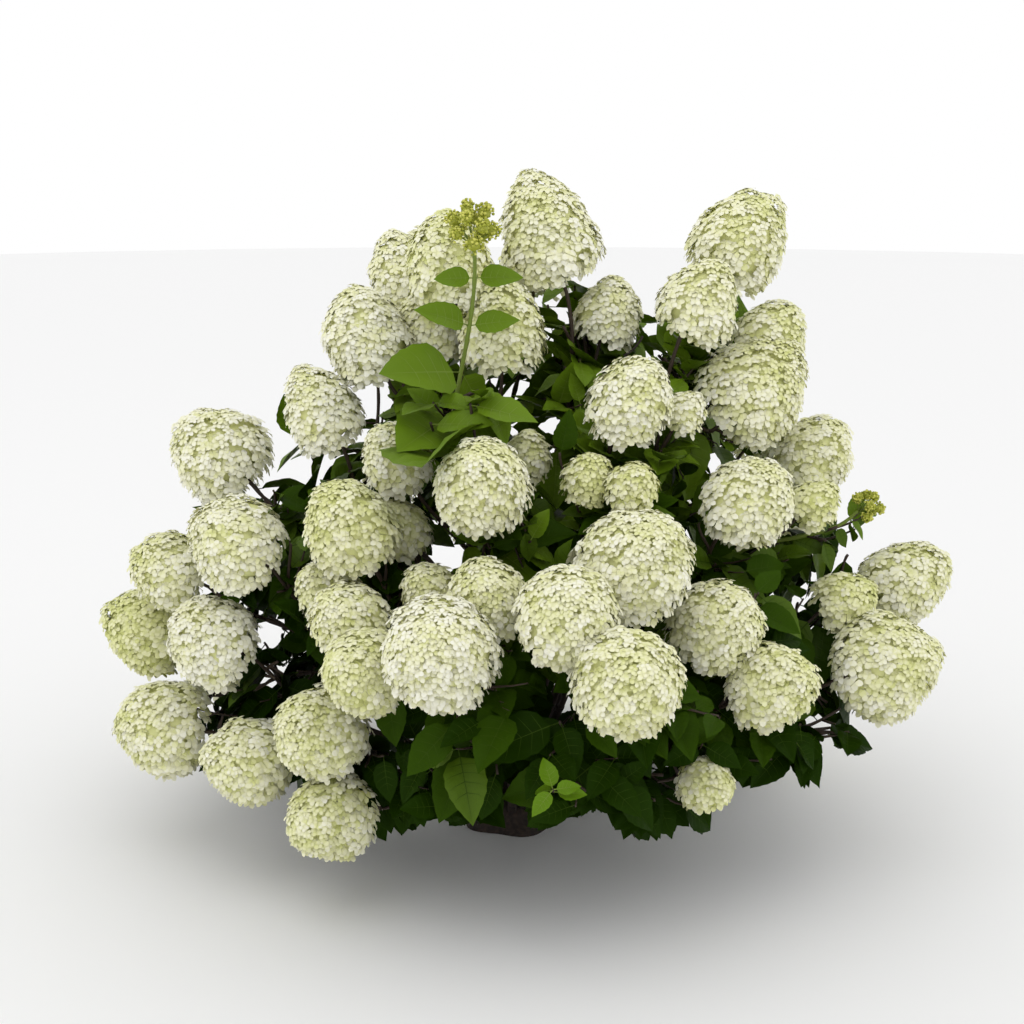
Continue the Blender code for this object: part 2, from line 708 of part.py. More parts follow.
def main():
    for obj in list(bpy.data.objects):
        bpy.data.objects.remove(obj)
    materials = [material(*colour) for colour in COLOURS]
    scene = bpy.context.scene.collection
    stool = stool_mesh()
    add_object("root_stool", stool, BARK, materials, scene)
    plan = grow(stool)
    rng = random.Random(SEED)
    for name, mass in plan.items():
        radii = taper(BOUGH_RADIUS, BOUGH_TIP_RADIUS, len(mass["bough"]))
        add_object("bough_" + name, tube(mass["bough"], radii, BOUGH_SIDES), BARK, materials, scene)
        fuse("mass_" + name, mass_shapes(mass, rng), materials)
    return plan


PLAN = main()
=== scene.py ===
"""The looks of a panicle hydrangea in full flower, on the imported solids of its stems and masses.

Metres, +Z up. The origin is on the ground under the middle of the root stool, and the shrub is looked at
along +Y. Every mass is grown again by the rule that made its solid and then carried on: sprigs and leaves
between the solid's own, florets of four petals all over each flower head, beads in the green bud clusters and
bark on the limbs. All of one kind in one part of the crown is joined into one piece.
"""

import bisect
import itertools
import math
import random

import bpy
import numpy as np
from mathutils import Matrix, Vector
from mathutils.bvhtree import BVHTree

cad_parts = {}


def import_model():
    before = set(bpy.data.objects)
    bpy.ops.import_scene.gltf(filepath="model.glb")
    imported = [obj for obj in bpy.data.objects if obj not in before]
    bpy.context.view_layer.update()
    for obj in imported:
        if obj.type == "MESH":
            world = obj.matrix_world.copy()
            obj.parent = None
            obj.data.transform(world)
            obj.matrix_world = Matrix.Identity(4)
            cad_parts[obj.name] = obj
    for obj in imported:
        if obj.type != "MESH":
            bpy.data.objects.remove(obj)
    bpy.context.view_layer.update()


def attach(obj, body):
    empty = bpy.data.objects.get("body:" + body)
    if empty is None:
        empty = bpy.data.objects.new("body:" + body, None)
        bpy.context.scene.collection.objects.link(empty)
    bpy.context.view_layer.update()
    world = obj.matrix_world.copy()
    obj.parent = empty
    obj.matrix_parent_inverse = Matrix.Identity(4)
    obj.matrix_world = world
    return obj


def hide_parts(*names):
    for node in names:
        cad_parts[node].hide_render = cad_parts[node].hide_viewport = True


UP = Vector((0, 0, 1))
SEED = 41
GAP = 0.0003  # between solids that touch
MILLIMETRES = 1000  # in a metre, for the tables of places

# The line of sight that the places below are given from: in front of the shrub and a little above it.
EYE_DISTANCE = 3.4
EYE_TILT = math.radians(13.0)
AIM_HEIGHT = 0.62
VIEW_HALF_WIDTH = 0.973  # of the picture, in the plane through the aim point
SENSOR_WIDTH = 36.0  # millimetres

# The root stool: a low woody dome on a flared foot with root lobes.
STOOL_RADIUS = 0.078
STOOL_HEIGHT = 0.066
STOOL_FLARE = 0.016
STOOL_FOOT_HEIGHT = 0.012
STOOL_DOME_FOOT = 0.014
STOOL_LOBES = 5
LOBE_SWELL = 0.45  # of the flare
STOOL_EDGE_FLARE = 0.4  # of the flare, at the foot's upper edge
STOOL_DOME_TILT = 12  # degrees up the dome of its lowest ring
STOOL_ROUGHNESS = 0.030
STOOL_SIDES = 60
STOOL_RINGS = 16

# Boughs: from the stool's dome to where their masses begin.
BOUGH_RADIUS = 0.0095
BOUGH_TIP_RADIUS = 0.0068
BOUGH_SIDES = 10
BOUGH_LEAD = 0.012  # straight length at the foot
BOUGH_ENTRY = 0.52  # share of the way to its flower heads at which a bough enters its mass
BOUGH_LIFT = 0.03  # height of that entry over the straight way
START_HEART = 0.2  # boughs leave away from this share of the stool's height on its axis
BOUGH_BEND = 0.35
BOUGH_SQUARE, BOUGH_UP = 0.5, 0.35  # how much it leaves square to the stool and upwards
BOUGH_SINK = 0.004  # how far a bough's bark runs into the stool
BARK_FURROWS, BARK_PLATES, BARK_JOINTS = 0.07, 0.05, 0.16  # relief, of the radius
BARK_JOINT_STEP, BARK_JOINT_LENGTH = 0.085, 0.007

# Twigs: a stem on from the bough, twigs from it, leafy side shoots from those and sprigs from all of them.
STEM_RADIUS = 0.0058
STEM_LEAD = 0.02  # straight length at the foot
TWIG_RADIUS = 0.0046
TWIG_TIP_RADIUS = 0.0032
TWIG_SIDES = 6
TWIG_BEND = 0.3
TWIG_UPRIGHT = 0.3  # how much of a twig's way into its head is straight up
TWIG_JOINTS, TWIG_JOINT_LENGTH = 0.28, 0.006  # where leaf pairs stand
FORK_FIRST = 0.14  # share of the stem at which its first twig leaves
FORK_LAST = 0.66  # and at which no twig leaves beyond
SHOOT_RADIUS = 0.0034
SHOOT_TIP_RADIUS = 0.0022
SHOOT_LENGTH = (0.10, 0.15)
SHOOT_FROM = (0.20, 0.62)  # share of a twig at which its side shoot leaves
SHOOTS_PER_TWIG = 2
SPRIG_RADIUS = 0.0026
SPRIG_TIP_RADIUS = 0.0016
SPRIG_LENGTH = (0.06, 0.13)
SPRIG_FROM = (0.10, 0.80)
SPRIGS_PER_TWIG = 7
BRANCH_RADIUS = 0.0036
BRANCH_TIP_RADIUS = 0.0022
BRANCH_SHARES = (0.10, 0.22, 0.34, 0.46, 0.58, 0.70)  # of a twig, at which leafy branches may leave
BRANCH_BOUGH_SHARES = (0.60, 0.75, 0.90)  # and of a bough
BRANCH_RISE = 0.25  # how much the place a branch leaves from is looked for below its end
SHOOT_SIDES = 4
SHOOT_BOW = 0.10  # how far a shoot's middle hangs, of its length
SHOOT_AHEAD, SHOOT_OUT, SHOOT_STRAY = 0.5, 0.7, 0.8  # along its limb, away from the root and at random
SHOOT_ROUND = 0.7  # how far its curve is pulled to its middle
SHOOT_POINTS = 5
RING_STEP = 0.014  # along a limb
LEAST_RINGS = 4

# Leaves, in opposite pairs, each pair square to the last.
LEAF_LENGTH = (0.120, 0.160)
LEAF_WIDTH = 0.54  # of its length
LEAF_FOLD = 0.10  # how far the edges stand above the midrib, of its length
LEAF_WIDEST = 0.40
LEAF_DROOP = (0.15, 0.65)
LOW_DROOP = 0.95  # more droop at the ground, and none of it from this height up
LOW_HEIGHT = 0.75
LEAF_CURL = (0.02, 0.14)
LEAF_FACE_OUT = 0.6  # how much a leaf faces away from the shrub's middle as well as up
LOW_FACE_OUT = 0.9  # and how much more at the ground
LEAF_FACE_STRAY = 0.25
LEAF_FACE_FRONT = 0.9  # how much those in front of the root turn to the front
LEAF_SINK = 0.0012  # how far a leaf's root stands off its twig's middle line
LEAF_AHEAD = (0.35, 0.65)
LEAF_TRIES = 6
LEAF_SHRINK = 0.92  # of its length at each new try
LEAF_SWING = 0.16  # and how much further it may swing
SHOOT_LEAF_SIZE = 0.9
BUD_LEAF_SIZE = 0.55
BUD_LEAF_GROWTH = 1.5  # of each pair's size, on to the next one down
BUD_FIRST_PAIR = 0.035  # how much lower than on other twigs
BUD_ROOM = 0.050  # round the stem of a bud cluster, for its own leaves
BUD_PAIR_STEP = 0.085
BUD_PAIR_TURN = 0.35  # between its pairs, which stay to its sides
BUD_FACE_FRONT = 0.9  # how much more its leaves turn to the front
STEM_ROOM = 0.008  # about it, that no leaf hides
BROWN_TWIG, GREEN_TWIG = 0, 1
SPRIG_LEAF_SIZE = (0.55, 0.90)
WHORL_SIZE = (0.36, 0.56)  # of the young leaves at the end of a low branch, of the others' length
WHORL_STEP = 0.007
WHORL_PAIRS = 3
WHORL_AHEAD, WHORL_LIFT = 0.3, 0.7
WHORL_TURN = math.pi / 3
WHORL_RADIUS = 0.045
MOST_LEAVES = 185  # on one mass in flower
MOST_LEAVES_BARE = 290  # on one with no flowers
PAIR_STEP = 0.050
SHOOT_PAIR_STEP = 0.036
SPRIG_PAIR_STEP = 0.034
PAIR_STRAY = (0.85, 1.15)
FIRST_PAIR = 0.010  # from a twig's end, or from the base of its flower head
LAST_PAIR = 0.016  # from a twig's foot

# What a leaf or shoot stays clear of.
SPACE_MARGIN = 0.002  # how much nearer it lies to its own mass than to the next one
HEAD_MARGIN = -0.006  # leaves may dip this far into a flower head
OUTER_POINTS = 4  # of a leaf's points, the ones that are tested against flower heads
LIMB_MARGIN = 0.003
GROUND_MARGIN = 0.006
SPHERE_STEP = 0.012
SEEN_SHARE = 0.88  # of a flower head's own size, seen from the eye, that leaves don't hide
LIMB_STUB = 0.004  # how far a limb runs on past its last leaf
BARE_REACH = 0.050  # how far along a side limb its first leaf may stand
BARE_SHARE = 0.45  # of a leafy branch that stays even with no leaf on it
NEIGHBOUR_REACH = 0.16  # leaves whose middles are further apart can't cross
SHAPE_FROM = 0.3  # of the way to a leaf's middle, at which the shape it is tested with starts

# The blade's net: rows from its base to its tip, and columns from its left edge to its right.
BLADE_ROWS = 13
BLADE_START = 0.10  # share of a leaf's length that its stalk takes
BLADE_COLUMNS = (-1.0, -0.52, 0.0, 0.52, 1.0)
BLADE_LAG = (0.055, -0.02, -0.095, -0.02, 0.055)  # rows run forward along the veins
BLADE_BASE_CURVE = 0.60
BLADE_TIP_CURVE = 1.05
BLADE_PILLOW = 0.030  # rise of the blade between midrib and edge, of the leaf's length
BLADE_QUILT = 0.011  # and of its quilting between the veins
QUILT_REACH = 1.2
BLADE_TEETH = 0.030  # of its half width
BLADE_WAVE = 0.022
BLADE_WAVES = 1.6  # along its edge
WAVE_LAG = 1.3  # between its two edges
BLADE_FOLDS = (0.5, 1.35)  # how far leaves fold, of LEAF_FOLD
BLADE_TWIST = 0.28
STALK_RADIUS = 0.0013
STALK_REACH = 1.5  # of the blade's start
VEIN_ROWS = (2, 4, 6, 8)  # rows of the net that a pair of veins follows
VEIN_WIDTH = 0.009  # at the midrib, of the leaf's length
VEIN_TAPER = 0.7
VEIN_END = 0.90  # of the way from the midrib to the edge
VEIN_RISE = 0.0035
MIDRIB_ROWS = (0, 3, 6, 9)
MIDRIB_WIDTH = 0.016
MIDRIB_RISE = 0.0070

# Flower heads.
HEAD_WIDEST = 0.36
HEAD_BASE_CURVE = 2.6
HEAD_DOME_CURVE = 0.62
HEAD_SPHERES = (0.25, 0.45, 0.65, 0.82)
HEAD_MIDDLE = 0.42
HEAD_SINK = 0.20  # share of a head's length that its twig runs into it
LEAN_LIFT = 0.12

# Florets: four petals each, in clumps over the head. The inner ones close the gaps between the outer ones.
FLORETS_PER_AREA = 5400.0
FLORET_RADIUS = (0.0140, 0.0185)
FLORET_TOP_SIZE = 0.55  # of the lowest ones, at a head's very top
FLORET_SIZE_CURVE = 1.1
FLORET_INNER_SHARE = 0.30
FLORET_INNER_DEPTH = 0.905
FLORET_OUTER_DEPTH = 0.942
FLORET_DEPTH_STRAY = 0.014
# the inner florets are greener, partly their own green and partly painted shade in the gaps
INNER_GREEN_AND_SHADE = 0.26
HEAD_RAISE = 0.011  # of the florets of a head that leans to the front, over their own solid's place
UNDERSIDE_FLAT = 0.05  # share of its depth that a head's lower half loses
FLORETS_FROM = 0.08  # share of a head's length below which it is open
CLUMPS_PER_HEAD = 44
CLUMP_SPREAD = 0.24
CLUMP_STRAY = 0.10
CLUMP_SWELL = 0.075
CLUMP_TURN = 0.30
HEAD_LUMPS = 0.10  # of a head's depth, that its whole shape swells and sinks by
LUMP_WAVES = 3.2
PROFILE_STEPS = 161
PROFILE_EDGE = 0.006  # added to a head's radius where its surface is measured
PLACE_STRAY = (0.2, 0.8)  # of the room that a floret has along the head
TURN_STRAY = 0.3
FLORET_LIFT = 0.65  # how much florets turn up to the sky
LIFT_AT_TOP = 0.5  # of it, that those which face up already do without
FLORET_LOWEST = -0.20  # how far down those under a head face
FLORET_STRAY = 0.11
HEAD_GREEN, TOP_GREEN, HOLLOW_SHADE_GREEN = 0.55, 0.30, 0.42  # with a head's own, to its top, and between clumps as painted shade in the hollows
MID_SHARE, MID_SWELL = 0.45, 0.55  # where the last two are nothing
GREEN_STRAY = 0.05
ODD_PETALS = 0.15  # share that are a shade off their floret's
PETAL_TURN_STRAY = 0.10
PETAL_SIZES = (0.92, 1.08)
PETAL_TILT = (-0.42, 0.0)  # how far petals bend back
RIM_TILT = 0.25  # how much less those of the lowest florets do
RIM_SHARE = 0.30  # of a head's length that these stand on
RIM_STRAY = 0.07  # how far some of them stand out, of the head's depth
PETAL_PAIR = 0.90  # length of the second pair, of the first
PETAL_NET = (  # along, across and above the petal, of its length
    (0.03, 0.0, 0.0),
    (0.44, -0.41, 0.05),
    (0.84, -0.31, 0.03),
    (1.04, 0.0, -0.06),
    (0.84, 0.31, 0.03),
    (0.44, 0.41, 0.05),
)
PETAL_FACES = ((5, 0, 1), (1, 2, 4), (1, 4, 5), (2, 3, 4))
PETAL_BASE_FACES = 1  # the first of them, which is a shade greener
GOLDEN_TURN = math.pi * (3 - math.sqrt(5))
CORE_DEPTH = 0.86
CORE_STRAY = (0.97, 1.03)
CORE_START, CORE_LENGTH = 0.11, 0.78  # of a head's length
CORE_SIDES = 10
CORE_RINGS = 8

# Bud clusters: green beads in clumps.
BEAD_RADIUS = (0.0020, 0.0031)
BEADS_PER_CLUMP = 52
CLUMPS_PER_WIDTH = 130.0
CLUMP_RADIUS = 0.21  # of the cluster's width
CLUMP_HEART = 0.72  # radius of a clump's green middle, of its own
CLUMP_SIZES = (0.8, 1.1)
LEAST_CLUMPS = 5
CLUMP_FALL = 1.55  # clumps stand round the cluster from its top to this much below, of its half height
BUD_MIDDLE, BUD_RISE = 0.45, 0.42  # of the cluster's length
BEAD_DEPTHS = (0.65, 1.0)  # of a clump's radius
BEAD_STALK = (0.0016, 0.0010)
STALK_FOOT, STALK_BEND, STALK_LIFT = 0.1, 0.55, 0.002
STALK_SIDES = 4

# Each mass: its tier on the stool, then the ends of its twigs. A place, in millimetres, is across and up in
# the plane through the aim point and square to the line of sight, then how far it stands in front of the
# root. A flower head follows with its width and length, and how green it is from 0 to 1, which on some
# heads low in the crown is set higher as painted shade. A leafy end has neither, and a bud cluster is marked
# by a greenness of 2.
LOW, MIDDLE, HIGH = 0, 1, 2
BUD = 2
LEAN_PIVOT = {LOW: 0.20, MIDDLE: 0.26, HIGH: 0.46}  # heads point away from this height on the shrub's axis
START_TILT = {LOW: 26, MIDDLE: 45, HIGH: 67}  # degrees up the dome at which a tier's boughs start
START_APART = {LOW: 38, MIDDLE: 40, HIGH: 62}
MASSES = {
    "top": (HIGH, (
        (64, 533, 0, 185, 235, 0.36), (186, 384, -30, 130, 150, 0.3),
    )),
    "top_left": (HIGH, (
        (-120, 481, 80, 165, 195, 0.62), (-23, 355, 100, 165, 180, 0.55),
        (-209, 458, -120, 130, 175, 0.25), (-281, 342, 60, 165, 200, 0.16), (-152, 361, 0, 150, 165, 0.45),
    )),
    "top_right": (HIGH, (
        (437, 522, -50, 185, 205, 0.55), (361, 403, 100, 150, 165, 0.45), (496, 338, 0, 135, 145, 0.55),
        (464, 236, 60, 205, 212, 0.5),
    )),
    "left_shoulder": (MIDDLE, (
        (-365, 196, 100, 140, 175, 0.12), (-560, 118, 0, 188, 200, 0.2),
    )),
    "upper_front": (HIGH, (
        (-226, 103, 220, 130, 145, 0.25), (-61, 48, 420, 165, 185, 0.34), (29, 105, 200, 90, 100, 0.5),
        (-76, 540, 260, 85, 90, BUD),
    )),
    "upper_right": (HIGH, (
        (230, 213, 280, 145, 170, 0.22), (331, 190, 220, 75, 80, 0.2), (148, 61, 320, 90, 100, 0.85),
        (232, 42, 360, 90, 95, 0.8),
    )),
    "left": (MIDDLE, (
        (-532, -55, 220, 178, 175, 0.2), (-652, -106, 60, 150, 165, 0.45),
    )),
    "left_low": (LOW, (
        (-695, -217, -20, 170, 190, 0.95), (-576, -243, 240, 165, 175, 0.02),
        (-669, -409, 160, 185, 190, 0.42),
    )),
    "left_foot": (LOW, (
        (-509, -477, 320, 155, 170, 0.42), (-369, -424, 430, 165, 175, 0.52),
        (-353, -589, 440, 155, 165, 0.55),
    )),
    "front_left": (MIDDLE, (
        (-317, -29, 360, 165, 180, 0.62), (-213, -30, 220, 100, 120, 0.5),
        (-353, -158, 300, 120, 130, 0.35), (-315, -209, 440, 135, 140, 0.35),
        (-285, -308, 540, 145, 170, 0.62),
    )),
    "front": (MIDDLE, (
        (-143, -272, 640, 190, 200, 0.06), (-48, -167, 500, 140, 150, 0.45),
        (-160, -152, 400, 100, 110, 0.45),
    )),
    "front_right": (MIDDLE, (
        (108, -200, 620, 170, 180, 0.28), (239, -100, 500, 200, 210, 0.3),
        (228, -329, 700, 180, 180, 0.45),
    )),
    "front_foot": (LOW, (
        (20, -390, 560, 0, 0, 0), (-220, -440, 400, 0, 0, 0), (-130, -360, 480, 0, 0, 0),
        (-70, -540, 420, 0, 0, 0), (80, -520, 480, 0, 0, 0), (180, -440, 520, 0, 0, 0),
        (290, -500, 440, 0, 0, 0),
    )),
    "right_front": (LOW, (
        (395, -217, 430, 160, 175, 0.35), (500, -331, 460, 150, 160, 0.52), (372, -526, 500, 95, 100, 0.6),
    )),
    "right_low": (LOW, (
        (718, -291, 260, 200, 205, 0.5), (635, -167, 180, 115, 120, 0.85), (752, -129, 20, 160, 190, 0.45),
        (560, -420, 300, 0, 0, 0),
    )),
    "right": (MIDDLE, (
        (572, 112, -20, 158, 175, 0.42), (456, 23, 280, 165, 165, 0.3), (578, 17, 160, 90, 100, 0.85),
        (676, 13, 60, 55, 55, BUD),
    )),
}

# More branches that end in leaves, by their mass: across, up and near, in millimetres.
LEAFY_ENDS = {
    "top": (
        (115, -60, 50), (55, -80, 20), (60, 130, 140), (140, 400, -200), (68, 400, -140), (120, 440, -140),
        (77, 320, -100), (250, 340, -140), (84, 403, 50), (91, 308, 60), (167, 304, 0), (63, 213, 100),
        (120, 361, -80),
    ),
    "top_left": (
        (-225, 262, 80), (-209, 289, 120), (-137, 308, 180), (-251, 228, 50), (-165, 241, 20),
    ),
    "top_right": (
        (262, 346, -120), (319, 308, 20), (357, 175, 100), (424, 137, 50), (272, 346, -50), (285, 260, 50),
    ),
    "left_shoulder": (
        (-495, 20, 40), (-440, 0, 80), (-456, 46, 60), (-403, 80, 120), (-327, 118, 150), (-475, 23, -40),
    ),
    "upper_front": (
        (50, -85, 300), (95, -60, 300), (30, 225, 100), (64, -53, 220), (-137, 23, 300), (15, -34, 360),
        (-156, 175, 300), (-80, 213, 320), (-23, 266, 250), (91, 80, 300), (-108, 266, 280),
    ),
    "upper_right": (
        (148, 213, 220), (272, 99, 250), (338, 137, 150), (91, 118, 280), (167, 137, 200), (319, 251, 120),
    ),
    "left": (
        (-440, -200, 200), (-400, -130, 220), (-469, -148, 200), (-431, -15, 220), (-498, -167, 100),
        (-403, -91, 140), (-475, -91, 50),
    ),
    "left_low": (
        (-550, -350, 160), (-440, -330, 260), (-498, -338, 200), (-431, -262, 250), (-475, -243, 120),
        (-564, -262, 50),
    ),
    "left_foot": (
        (-235, -560, 400), (-205, -455, 340), (-422, -338, 340), (-222, -547, 420), (-274, -547, 360),
        (-241, -456, 380), (-327, -443, 300),
    ),
    "front_left": (
        (-180, 0, 140), (-230, -95, 200), (-422, -110, 300), (-241, -91, 300), (-213, -243, 400),
        (-213, -148, 280), (-346, -167, 220),
    ),
    "front": (
        (-203, -385, 360), (-170, -380, 450), (105, -345, 380), (-215, -370, 420), (95, -350, 420),
        (-25, -358, 520), (63, -368, 500), (-80, -386, 500), (-13, -63, 400), (-99, -91, 300),
        (15, -338, 550), (25, -243, 450), (-61, -338, 500), (-156, -63, 300), (-23, -186, 380),
    ),
    "front_right": (
        (281, -262, 500), (205, -186, 450), (357, -338, 500), (243, -338, 460), (91, -262, 480),
        (91, -91, 360),
    ),
    "front_foot": (
        (112, -385, 240), (125, -392, 120), (280, -470, 300), (-203, -400, 100), (-190, -395, 220),
        (-230, -405, 180), (-40, -545, 340), (40, -560, 360), (230, -560, 420), (330, -555, 440),
        (-200, -430, 420), (275, -545, 460), (167, -471, 600), (-80, -433, 560), (272, -547, 500),
        (91, -395, 580), (-137, -509, 500), (357, -490, 500), (205, -395, 520),
    ),
    "right_front": (
        (471, -148, 350), (585, -243, 300), (319, -243, 400), (300, -433, 450), (243, -509, 460),
        (357, -547, 460), (424, -443, 400),
    ),
    "right_low": (
        (470, -440, 300), (556, -425, 280), (630, -370, 240), (680, -385, 260), (640, -375, 200),
        (480, -455, 300), (600, -200, 100), (590, -290, 160), (528, -205, 150), (642, -76, 50),
        (661, -433, 300), (547, -167, 100), (557, -443, 340), (490, -471, 360),
    ),
    "right": (
        (585, -95, -40), (540, -120, 20), (357, -15, 250), (490, -91, 150), (604, -53, 50),
        (395, 118, 100), (357, -91, 200), (424, -120, 280), (642, -15, 60),
    ),
}

# And on the far side, by height and reach in metres, and bearing.
FAR_LEAFY_ENDS = {
    "far_low": ((0.34, 0.42, 2), (0.40, 0.44, 14), (0.30, 0.46, -8), (0.22, 0.42, 6), (0.44, 0.46, -6)),
    "far_left": ((0.36, 0.46, -50), (0.30, 0.50, -28), (0.42, 0.44, -32)),
    "far_right": ((0.36, 0.48, 50), (0.44, 0.46, 34), (0.28, 0.50, 40), (0.36, 0.46, 70)),
    "far_shoulder_left": ((0.62, 0.42, -12), (0.56, 0.44, -30), (0.70, 0.40, -50), (0.52, 0.40, -4)),
    "far_shoulder_right": ((0.60, 0.42, 12), (0.56, 0.46, 30), (0.66, 0.44, 46), (0.52, 0.38, 22)),
    "far_top": ((0.78, 0.34, 4), (0.84, 0.32, -18), (0.82, 0.34, 24)),
}

# Branches that end in a whorl of young leaves, in millimetres.
WHORLS = {"front_foot": ((78, -528, 700),)}

# Heads that lean towards or away from +X as well, by their mass and number.
LEANS = {("top", 0): -0.48}

# The far side carries heads in tiers round the root: height and reach in metres, and the bearings from +Y
# towards +X.
FAR_MASSES = {
    "far_left": (LOW, ((0.24, 0.69, -65), (0.27, 0.68, -37), (0.48, 0.70, -58), (0.46, 0.65, -35))),
    "far_low": (LOW, ((0.21, 0.68, -13), (0.24, 0.69, 12), (0.49, 0.68, -7), (0.35, 0.74, 23))),
    "far_right": (LOW, ((0.24, 0.72, 40), (0.18, 0.63, 61), (0.52, 0.73, 42), (0.54, 0.65, 63))),
    "far_shoulder_left": (MIDDLE, ((0.68, 0.66, -65), (0.61, 0.59, -26), (0.93, 0.41, -48), (0.91, 0.4, -4))),
    "far_shoulder_right": (MIDDLE, ((0.67, 0.61, 35), (0.71, 0.66, 53), (0.96, 0.61, 42), (0.86, 0.52, 62))),
    "far_top": (HIGH, ((1.08, 0.27, 10), (1.04, 0.46, -23))),
}
FAR_HEAD_WIDTH = (0.150, 0.180)
FAR_HEAD_STRETCH = 1.14
FAR_HEAD_GREEN = (0.15, 0.60)

# Openings that the sky shows through: across, up and radius in the sight plane, in millimetres.
OPENINGS = (
    (-275, 215, 38), (-128, -88, 21), (592, -237, 19), (657, -76, 16), (-460, -234, 18), (-464, -317, 18),
    (381, 95, 15), (-610, -319, 14), (-700, -315, 34), (77, 163, 15), (-299, 136, 14), (541, -173, 14),
    (-348, 77, 14), (2, 162, 13), (11, 232, 14), (-156, -17, 11), (628, -6, 10), (290, 66, 10),
    (735, 10, 40), (690, -45, 24), (576, -399, 18), (665, 85, 20), (-403, 82, 24), (-640, 22, 30),
    (200, 467, 30), (240, 465, 28), (0, -490, 15), (0, -530, 19), (0, -566, 22), (640, 62, 15),
)

# The hem that leaves are seen to hang down to, from left to right: across and up, in millimetres.
HEM = (
    (-802, -357), (-631, -494), (-422, -521), (-277, -627), (-209, -627), (-198, -604), (-137, -597),
    (-87, -598), (-60, -600), (-30, -606), (60, -606), (110, -588), (152, -574), (179, -581), (209, -630),
    (285, -627), (380, -620), (410, -547), (422, -500), (441, -532), (498, -528), (511, -443), (519, -443),
    (528, -528), (585, -528), (597, -414), (604, -414), (616, -471), (684, -464), (695, -395), (794, -361),
)

# Parts of the crown, each with its own pieces, and the masses in it.
ZONES = {
    "top": ("top", "top_left", "top_right", "upper_front", "upper_right"),
    "left": ("left_shoulder", "left", "left_low", "left_foot", "front_left"),
    "right": ("front", "front_right", "right_front", "right_low", "right", "front_foot"),
    "far": tuple(FAR_MASSES),
}

# Base colours, linear, from the greenest petal to the whitest, and from the youngest leaf through lit ones
# down to leaves darkened by painted shade.
# the greener shades are also darker, so greenness dealt to hollows, inner florets and some low heads paints
# shade as well
PETAL_SHADES = (
    ("petal_olive", (0.600, 0.630, 0.230)),
    ("petal_lime", (0.690, 0.710, 0.310)),
    ("petal_pale_lime", (0.765, 0.775, 0.400)),
    ("petal_lime_cream", (0.825, 0.825, 0.500)),
    ("petal_cream", (0.865, 0.857, 0.600)),
    ("petal_ivory", (0.892, 0.882, 0.690)),
    ("petal_white", (0.912, 0.902, 0.770)),
)
# leaf_young is the real pale green of young leaves; the others step darker for sprays lower and further in,
# as painted shade along with some of the darkening of older leaves
LEAF_TONES = (
    ("leaf_young", (0.105, 0.205, 0.006)),
    ("leaf_fresh_lit", (0.120, 0.205, 0.009)),
    ("leaf_mature_half_shade", (0.066, 0.120, 0.006)),
    ("leaf_dull_shade", (0.027, 0.060, 0.002)),
    ("leaf_deep_shade", (0.013, 0.034, 0.001)),
)
# Veins: pale on young and lit leaves, and darker as painted shade on leaves from half shade down.
VEIN_TONES = (("vein_pale", (0.180, 0.260, 0.040)), ("vein_in_shade", (0.040, 0.075, 0.008)))
TWIG_TONES = (("twig_brown", (0.048, 0.030, 0.020)), ("twig_green", (0.170, 0.235, 0.028)))
BEAD_TONES = (("bead_green", (0.360, 0.390, 0.035)), ("bead_lime", (0.620, 0.620, 0.120)))
BARK_COLOUR = ((0.014, 0.009, 0.007), (0.052, 0.034, 0.025))
CORE_COLOUR = (0.790, 0.805, 0.380)
YOUNG, FRESH_LIT, MATURE_HALF_SHADE, DULL_SHADE, DEEP_SHADE = range(5)
TONE_LIGHTS = (0.86, 1.04, 1.20)  # of height and reach together, from leaves in deep painted shade up to fresh, lit ones
HEIGHT_LIGHT, REACH_LIGHT = 1.3, 0.55
LIGHT_STRAY = 0.10

# Finishes: roughness and specular level, then the grain's scale, strength, depth and its range of roughness.
PETAL_FINISH = (0.6, 0.08, 420.0, 0.35, 0.0006, (0.50, 0.72))
LEAF_FINISH = (0.45, 0.12, 260.0, 0.40, 0.0008, (0.36, 0.52))
DARK_LEAF_FINISH = (0.45, 0.03, *LEAF_FINISH[2:])
DARK_LEAF = 0.08  # the brightest that a dark leaf's green is
PLAIN_FINISH = (0.5, 500.0, 0.30, 0.0005)  # with the roughness that each has of its own
BARK_FINISH = (0.85, 0.5, 90.0, 0.80, 0.0030, (0.75, 0.95))
FLOOR_FINISH = (0.9, 0.5, 6.0, 0.05, 0.001, (0.85, 0.95))
TWIG_ROUGHNESS, BEAD_ROUGHNESS, CORE_ROUGHNESS = 0.62, 0.5, 0.8
GRAIN_DETAIL = 4.0
BARK_RAMP = (0.35, 0.68)  # where the noise has the bark's two colours
BARK_DISTORTION = 0.6

FLOOR_RADIUS = 14.0
FLOOR_SIDES = 64
FLOOR_COLOUR = (0.92, 0.92, 0.92)
SKY_COLOUR = (1.0, 1.0, 1.0)
SKY_STRENGTH = 1.0
KEY_PLACE = (-1.2, -2.2, 5.0)
KEY_SIZE = 4.0
KEY_POWER = 22.0


def metres(sizes):
    """These whole millimetres in metres."""
    return [size / MILLIMETRES for size in sizes]


def eye_lines():
    """The eye's place, the direction it looks in and the one that is up in the picture."""
    eye = Vector((0, -EYE_DISTANCE * math.cos(EYE_TILT), AIM_HEIGHT + EYE_DISTANCE * math.sin(EYE_TILT)))
    ahead = Vector((0, math.cos(EYE_TILT), -math.sin(EYE_TILT)))
    rise = Vector((0, math.sin(EYE_TILT), math.cos(EYE_TILT)))
    return eye, ahead, rise


def seen(across, up, near):
    """The place that looks to stand across and up in the sight plane, and is near in front of the root."""
    eye, ahead, rise = eye_lines()
    ray = ahead * EYE_DISTANCE + Vector((across, 0, 0)) + rise * up
    return eye + ray * ((-near - eye.y) / ray.y)


